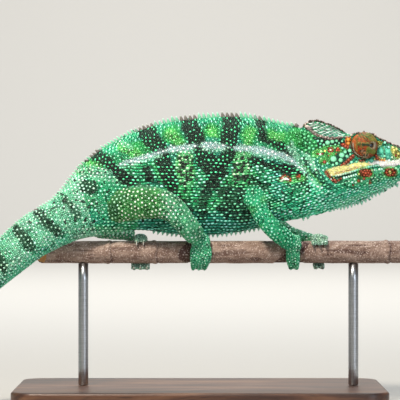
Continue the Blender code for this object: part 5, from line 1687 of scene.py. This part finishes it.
# Smooth-barked hardwood: dry outer bark, matt, mauve brown; the fresh cut shows orange wood with rings
barkMaterial, tree, shader = newMaterial("dry smooth bark", {"Roughness": 0.78, "IOR": 1.45})
layer = addNode(tree, "ShaderNodeAttribute", attribute_name="layer")
parts = addNode(tree, "ShaderNodeSeparateColor", {"Color": layer.outputs["Color"]})
where = addNode(tree, "ShaderNodeTexCoord")
drawn = addNode(tree, "ShaderNodeMapping", {"Vector": where.outputs["Object"], "Scale": (0.6, 1, 1)})
blotch = addNode(tree, "ShaderNodeTexNoise", {
    "Vector": drawn.outputs[0], "Scale": 200.0, "Detail": 9.0, "Roughness": 0.78})
speck = addNode(tree, "ShaderNodeTexNoise", {
    "Vector": where.outputs["Object"], "Scale": 1200.0, "Detail": 2.0})
barkTone = addNode(tree, "ShaderNodeValToRGB", {"Fac": blotch.outputs["Fac"]})
setStops(barkTone.color_ramp, ((0.26, "4A2E26"), (0.4, "745A4E"), (0.5, "8C7466"), (0.6, "A89082"),
                               (0.74, "DCCABE")))
# The darker mix carries the bark's own dark parts and the painted shade on the branch's right part.
darker = addNode(tree, "ShaderNodeMix", {"Factor": parts.outputs["Green"], "A": barkTone.outputs[0],
                                         "B": solid("3E211C")}, data_type="RGBA")
speckShare = addNode(tree, "ShaderNodeMapRange", {
    "Value": speck.outputs["Fac"], "From Min": 0.56, "From Max": 0.68, "To Min": 0.0, "To Max": 0.7})
specked = addNode(tree, "ShaderNodeMix", {"Factor": speckShare.outputs[0], "A": darker.outputs["Result"],
                                          "B": solid("DCC8BE")}, data_type="RGBA")
yearShare = addNode(tree, "ShaderNodeMath", {0: parts.outputs["Red"], 1: 75.0}, operation="MULTIPLY")
yearWave = addNode(tree, "ShaderNodeMath", {0: yearShare.outputs[0]}, operation="SINE")
yearTone = addNode(tree, "ShaderNodeMapRange", {"Value": yearWave.outputs[0], "From Min": -1.0})
woodTone = addNode(tree, "ShaderNodeMix", {"Factor": yearTone.outputs[0], "A": solid("A8662E"),
                                           "B": solid("D89A60")}, data_type="RGBA")
whole = addNode(tree, "ShaderNodeMix", {"Factor": parts.outputs["Blue"], "A": specked.outputs["Result"],
                                        "B": woodTone.outputs["Result"]}, data_type="RGBA")
tree.links.new(whole.outputs["Result"], shader.inputs["Base Color"])
barkBump = addNode(tree, "ShaderNodeBump", {
    "Height": blotch.outputs["Fac"], "Strength": 0.5, "Distance": 0.0006})
tree.links.new(barkBump.outputs[0], shader.inputs["Normal"])
makeBranch()
print("branch ready")


# Stand: an oiled walnut board with eased edges, and two brushed steel rods

standLook = {"size": (220.0, 110.0, 12.0), "corner": 14.0, "edge": 1.6, "rodRadius": 3.0, "rodEdge": 0.25,
             "rodSides": 48, "saddle": 7.02, "rods": {"stand_rod_front": 92.0, "stand_rod_rear": -70.0}}


def makeBase():
    width, depth, thick = standLook["size"]
    corner = standLook["corner"]
    outline = []
    for number, (sx, sy) in enumerate(((1, 1), (-1, 1), (-1, -1), (1, -1))):
        for turn in np.linspace(0, math.pi / 2, 13):
            angle = number * math.pi / 2 + turn
            outline.append((sx * (width / 2 - corner), sy * (depth / 2 - corner),
                            math.cos(angle), math.sin(angle)))
    levels = []
    edge = standLook["edge"]
    for turn in np.linspace(0, math.pi / 2, 6):  # from the underside, round the lower edge
        levels.append((-edge * (1 - math.sin(turn)), edge * (1 - math.cos(turn))))
    levels += [(0.0, thick / 3), (0.0, thick * 2 / 3)]
    for turn in np.linspace(0, math.pi / 2, 6):
        levels.append((-edge * (1 - math.cos(turn)), thick - edge * (1 - math.sin(turn))))
    points = []
    for inset, high in levels:
        for x, y, cos, sin in outline:
            reach = corner + inset
            points.append((x + cos * reach, y + sin * reach, high - axisHeight))
    faces = ringFaces(0, len(levels), len(outline))
    piece = addPiece("stand_board", points, faces, walnut, smooth=False)
    for face in piece.data.polygons:
        face.use_smooth = len(face.vertices) == 4
    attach(piece, "root")
    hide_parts("stand_base")


def makeRods():
    low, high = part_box("stand_rod_front")
    bottom, top = low.z / mm - axisHeight, high.z / mm - axisHeight
    for name, x in standLook["rods"].items():
        points, radius, edge = [], standLook["rodRadius"], standLook["rodEdge"]
        levels = [(radius, z) for z in np.linspace(bottom + edge, top - edge, 8)]
        levels = [(radius - edge, bottom), *levels, (radius - edge, top)]
        for reach, z in levels:
            for turn in circle(standLook["rodSides"]):
                across = math.sin(turn) * reach
                hollow = -math.sqrt(max(0.0, standLook["saddle"]**2 - across**2))  # carries the round branch
                points.append((x + math.cos(turn) * reach, across, min(z, hollow)))
        faces = ringFaces(0, len(levels), standLook["rodSides"])
        piece = addPiece(name.replace("stand_", "steel_"), points, faces, brushedSteel)
        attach(piece, "root")
        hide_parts(name)


# Oiled walnut: long grain along the board, satin
walnut, tree, shader = newMaterial("oiled walnut", {
    "Roughness": 0.42, "IOR": 1.5, "Coat Weight": 0.15, "Coat Roughness": 0.3})
where = addNode(tree, "ShaderNodeTexCoord")
drawn = addNode(tree, "ShaderNodeMapping", {"Vector": where.outputs["Object"], "Scale": (0.9, 9.0, 9.0)})
grainNoise = addNode(tree, "ShaderNodeTexNoise", {
    "Vector": drawn.outputs[0], "Scale": 14.0, "Detail": 8.0, "Roughness": 0.6, "Distortion": 0.6})
woodRamp = addNode(tree, "ShaderNodeValToRGB", {"Fac": grainNoise.outputs["Fac"]})
setStops(woodRamp.color_ramp, ((0.32, "2C1A12"), (0.46, "4A2E20"), (0.56, "64422E"), (0.7, "7E5A40")))
pores = addNode(tree, "ShaderNodeMapping", {"Vector": where.outputs["Object"], "Scale": (0.06, 1.0, 1.0)})
poreNoise = addNode(tree, "ShaderNodeTexNoise", {"Vector": pores.outputs[0], "Scale": 1400.0, "Detail": 2.0})
poreShare = addNode(tree, "ShaderNodeMapRange", {
    "Value": poreNoise.outputs["Fac"], "From Min": 0.6, "From Max": 0.68, "To Min": 0.0, "To Max": 0.6})
pored = addNode(tree, "ShaderNodeMix", {"Factor": poreShare.outputs[0], "A": woodRamp.outputs[0],
                                        "B": solid("1E110B")}, data_type="RGBA")
tree.links.new(pored.outputs["Result"], shader.inputs["Base Color"])
poreBump = addNode(tree, "ShaderNodeBump", {
    "Height": poreNoise.outputs["Fac"], "Strength": 0.15, "Distance": 0.0002})
tree.links.new(poreBump.outputs[0], shader.inputs["Normal"])

# Brushed stainless steel: fine lines round the rod
brushedSteel, tree, shader = newMaterial("brushed stainless steel", {"Metallic": 1.0, "Roughness": 0.3})
where = addNode(tree, "ShaderNodeTexCoord")
drawn = addNode(tree, "ShaderNodeMapping", {"Vector": where.outputs["Object"], "Scale": (0.05, 0.05, 1.0)})
lines = addNode(tree, "ShaderNodeTexNoise", {"Vector": drawn.outputs[0], "Scale": 2600.0, "Detail": 3.0})
steelTone = addNode(tree, "ShaderNodeMix", {"Factor": lines.outputs["Fac"], "A": solid("8E9194"),
                                            "B": solid("C6C9CC")}, data_type="RGBA")
tree.links.new(steelTone.outputs["Result"], shader.inputs["Base Color"])
rough = addNode(tree, "ShaderNodeMapRange", {"Value": lines.outputs["Fac"], "To Min": 0.22, "To Max": 0.42})
tree.links.new(rough.outputs[0], shader.inputs["Roughness"])
makeBase()
makeRods()
print("stand ready")

for shape in (grainShape, knobShape, spikeShape):  # every scale is planted
    bpy.data.objects.remove(shape)
skin.data.shade_smooth()
skin.data.materials.append(thinSkin)
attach(skin, "root")
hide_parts(*fleshNames)
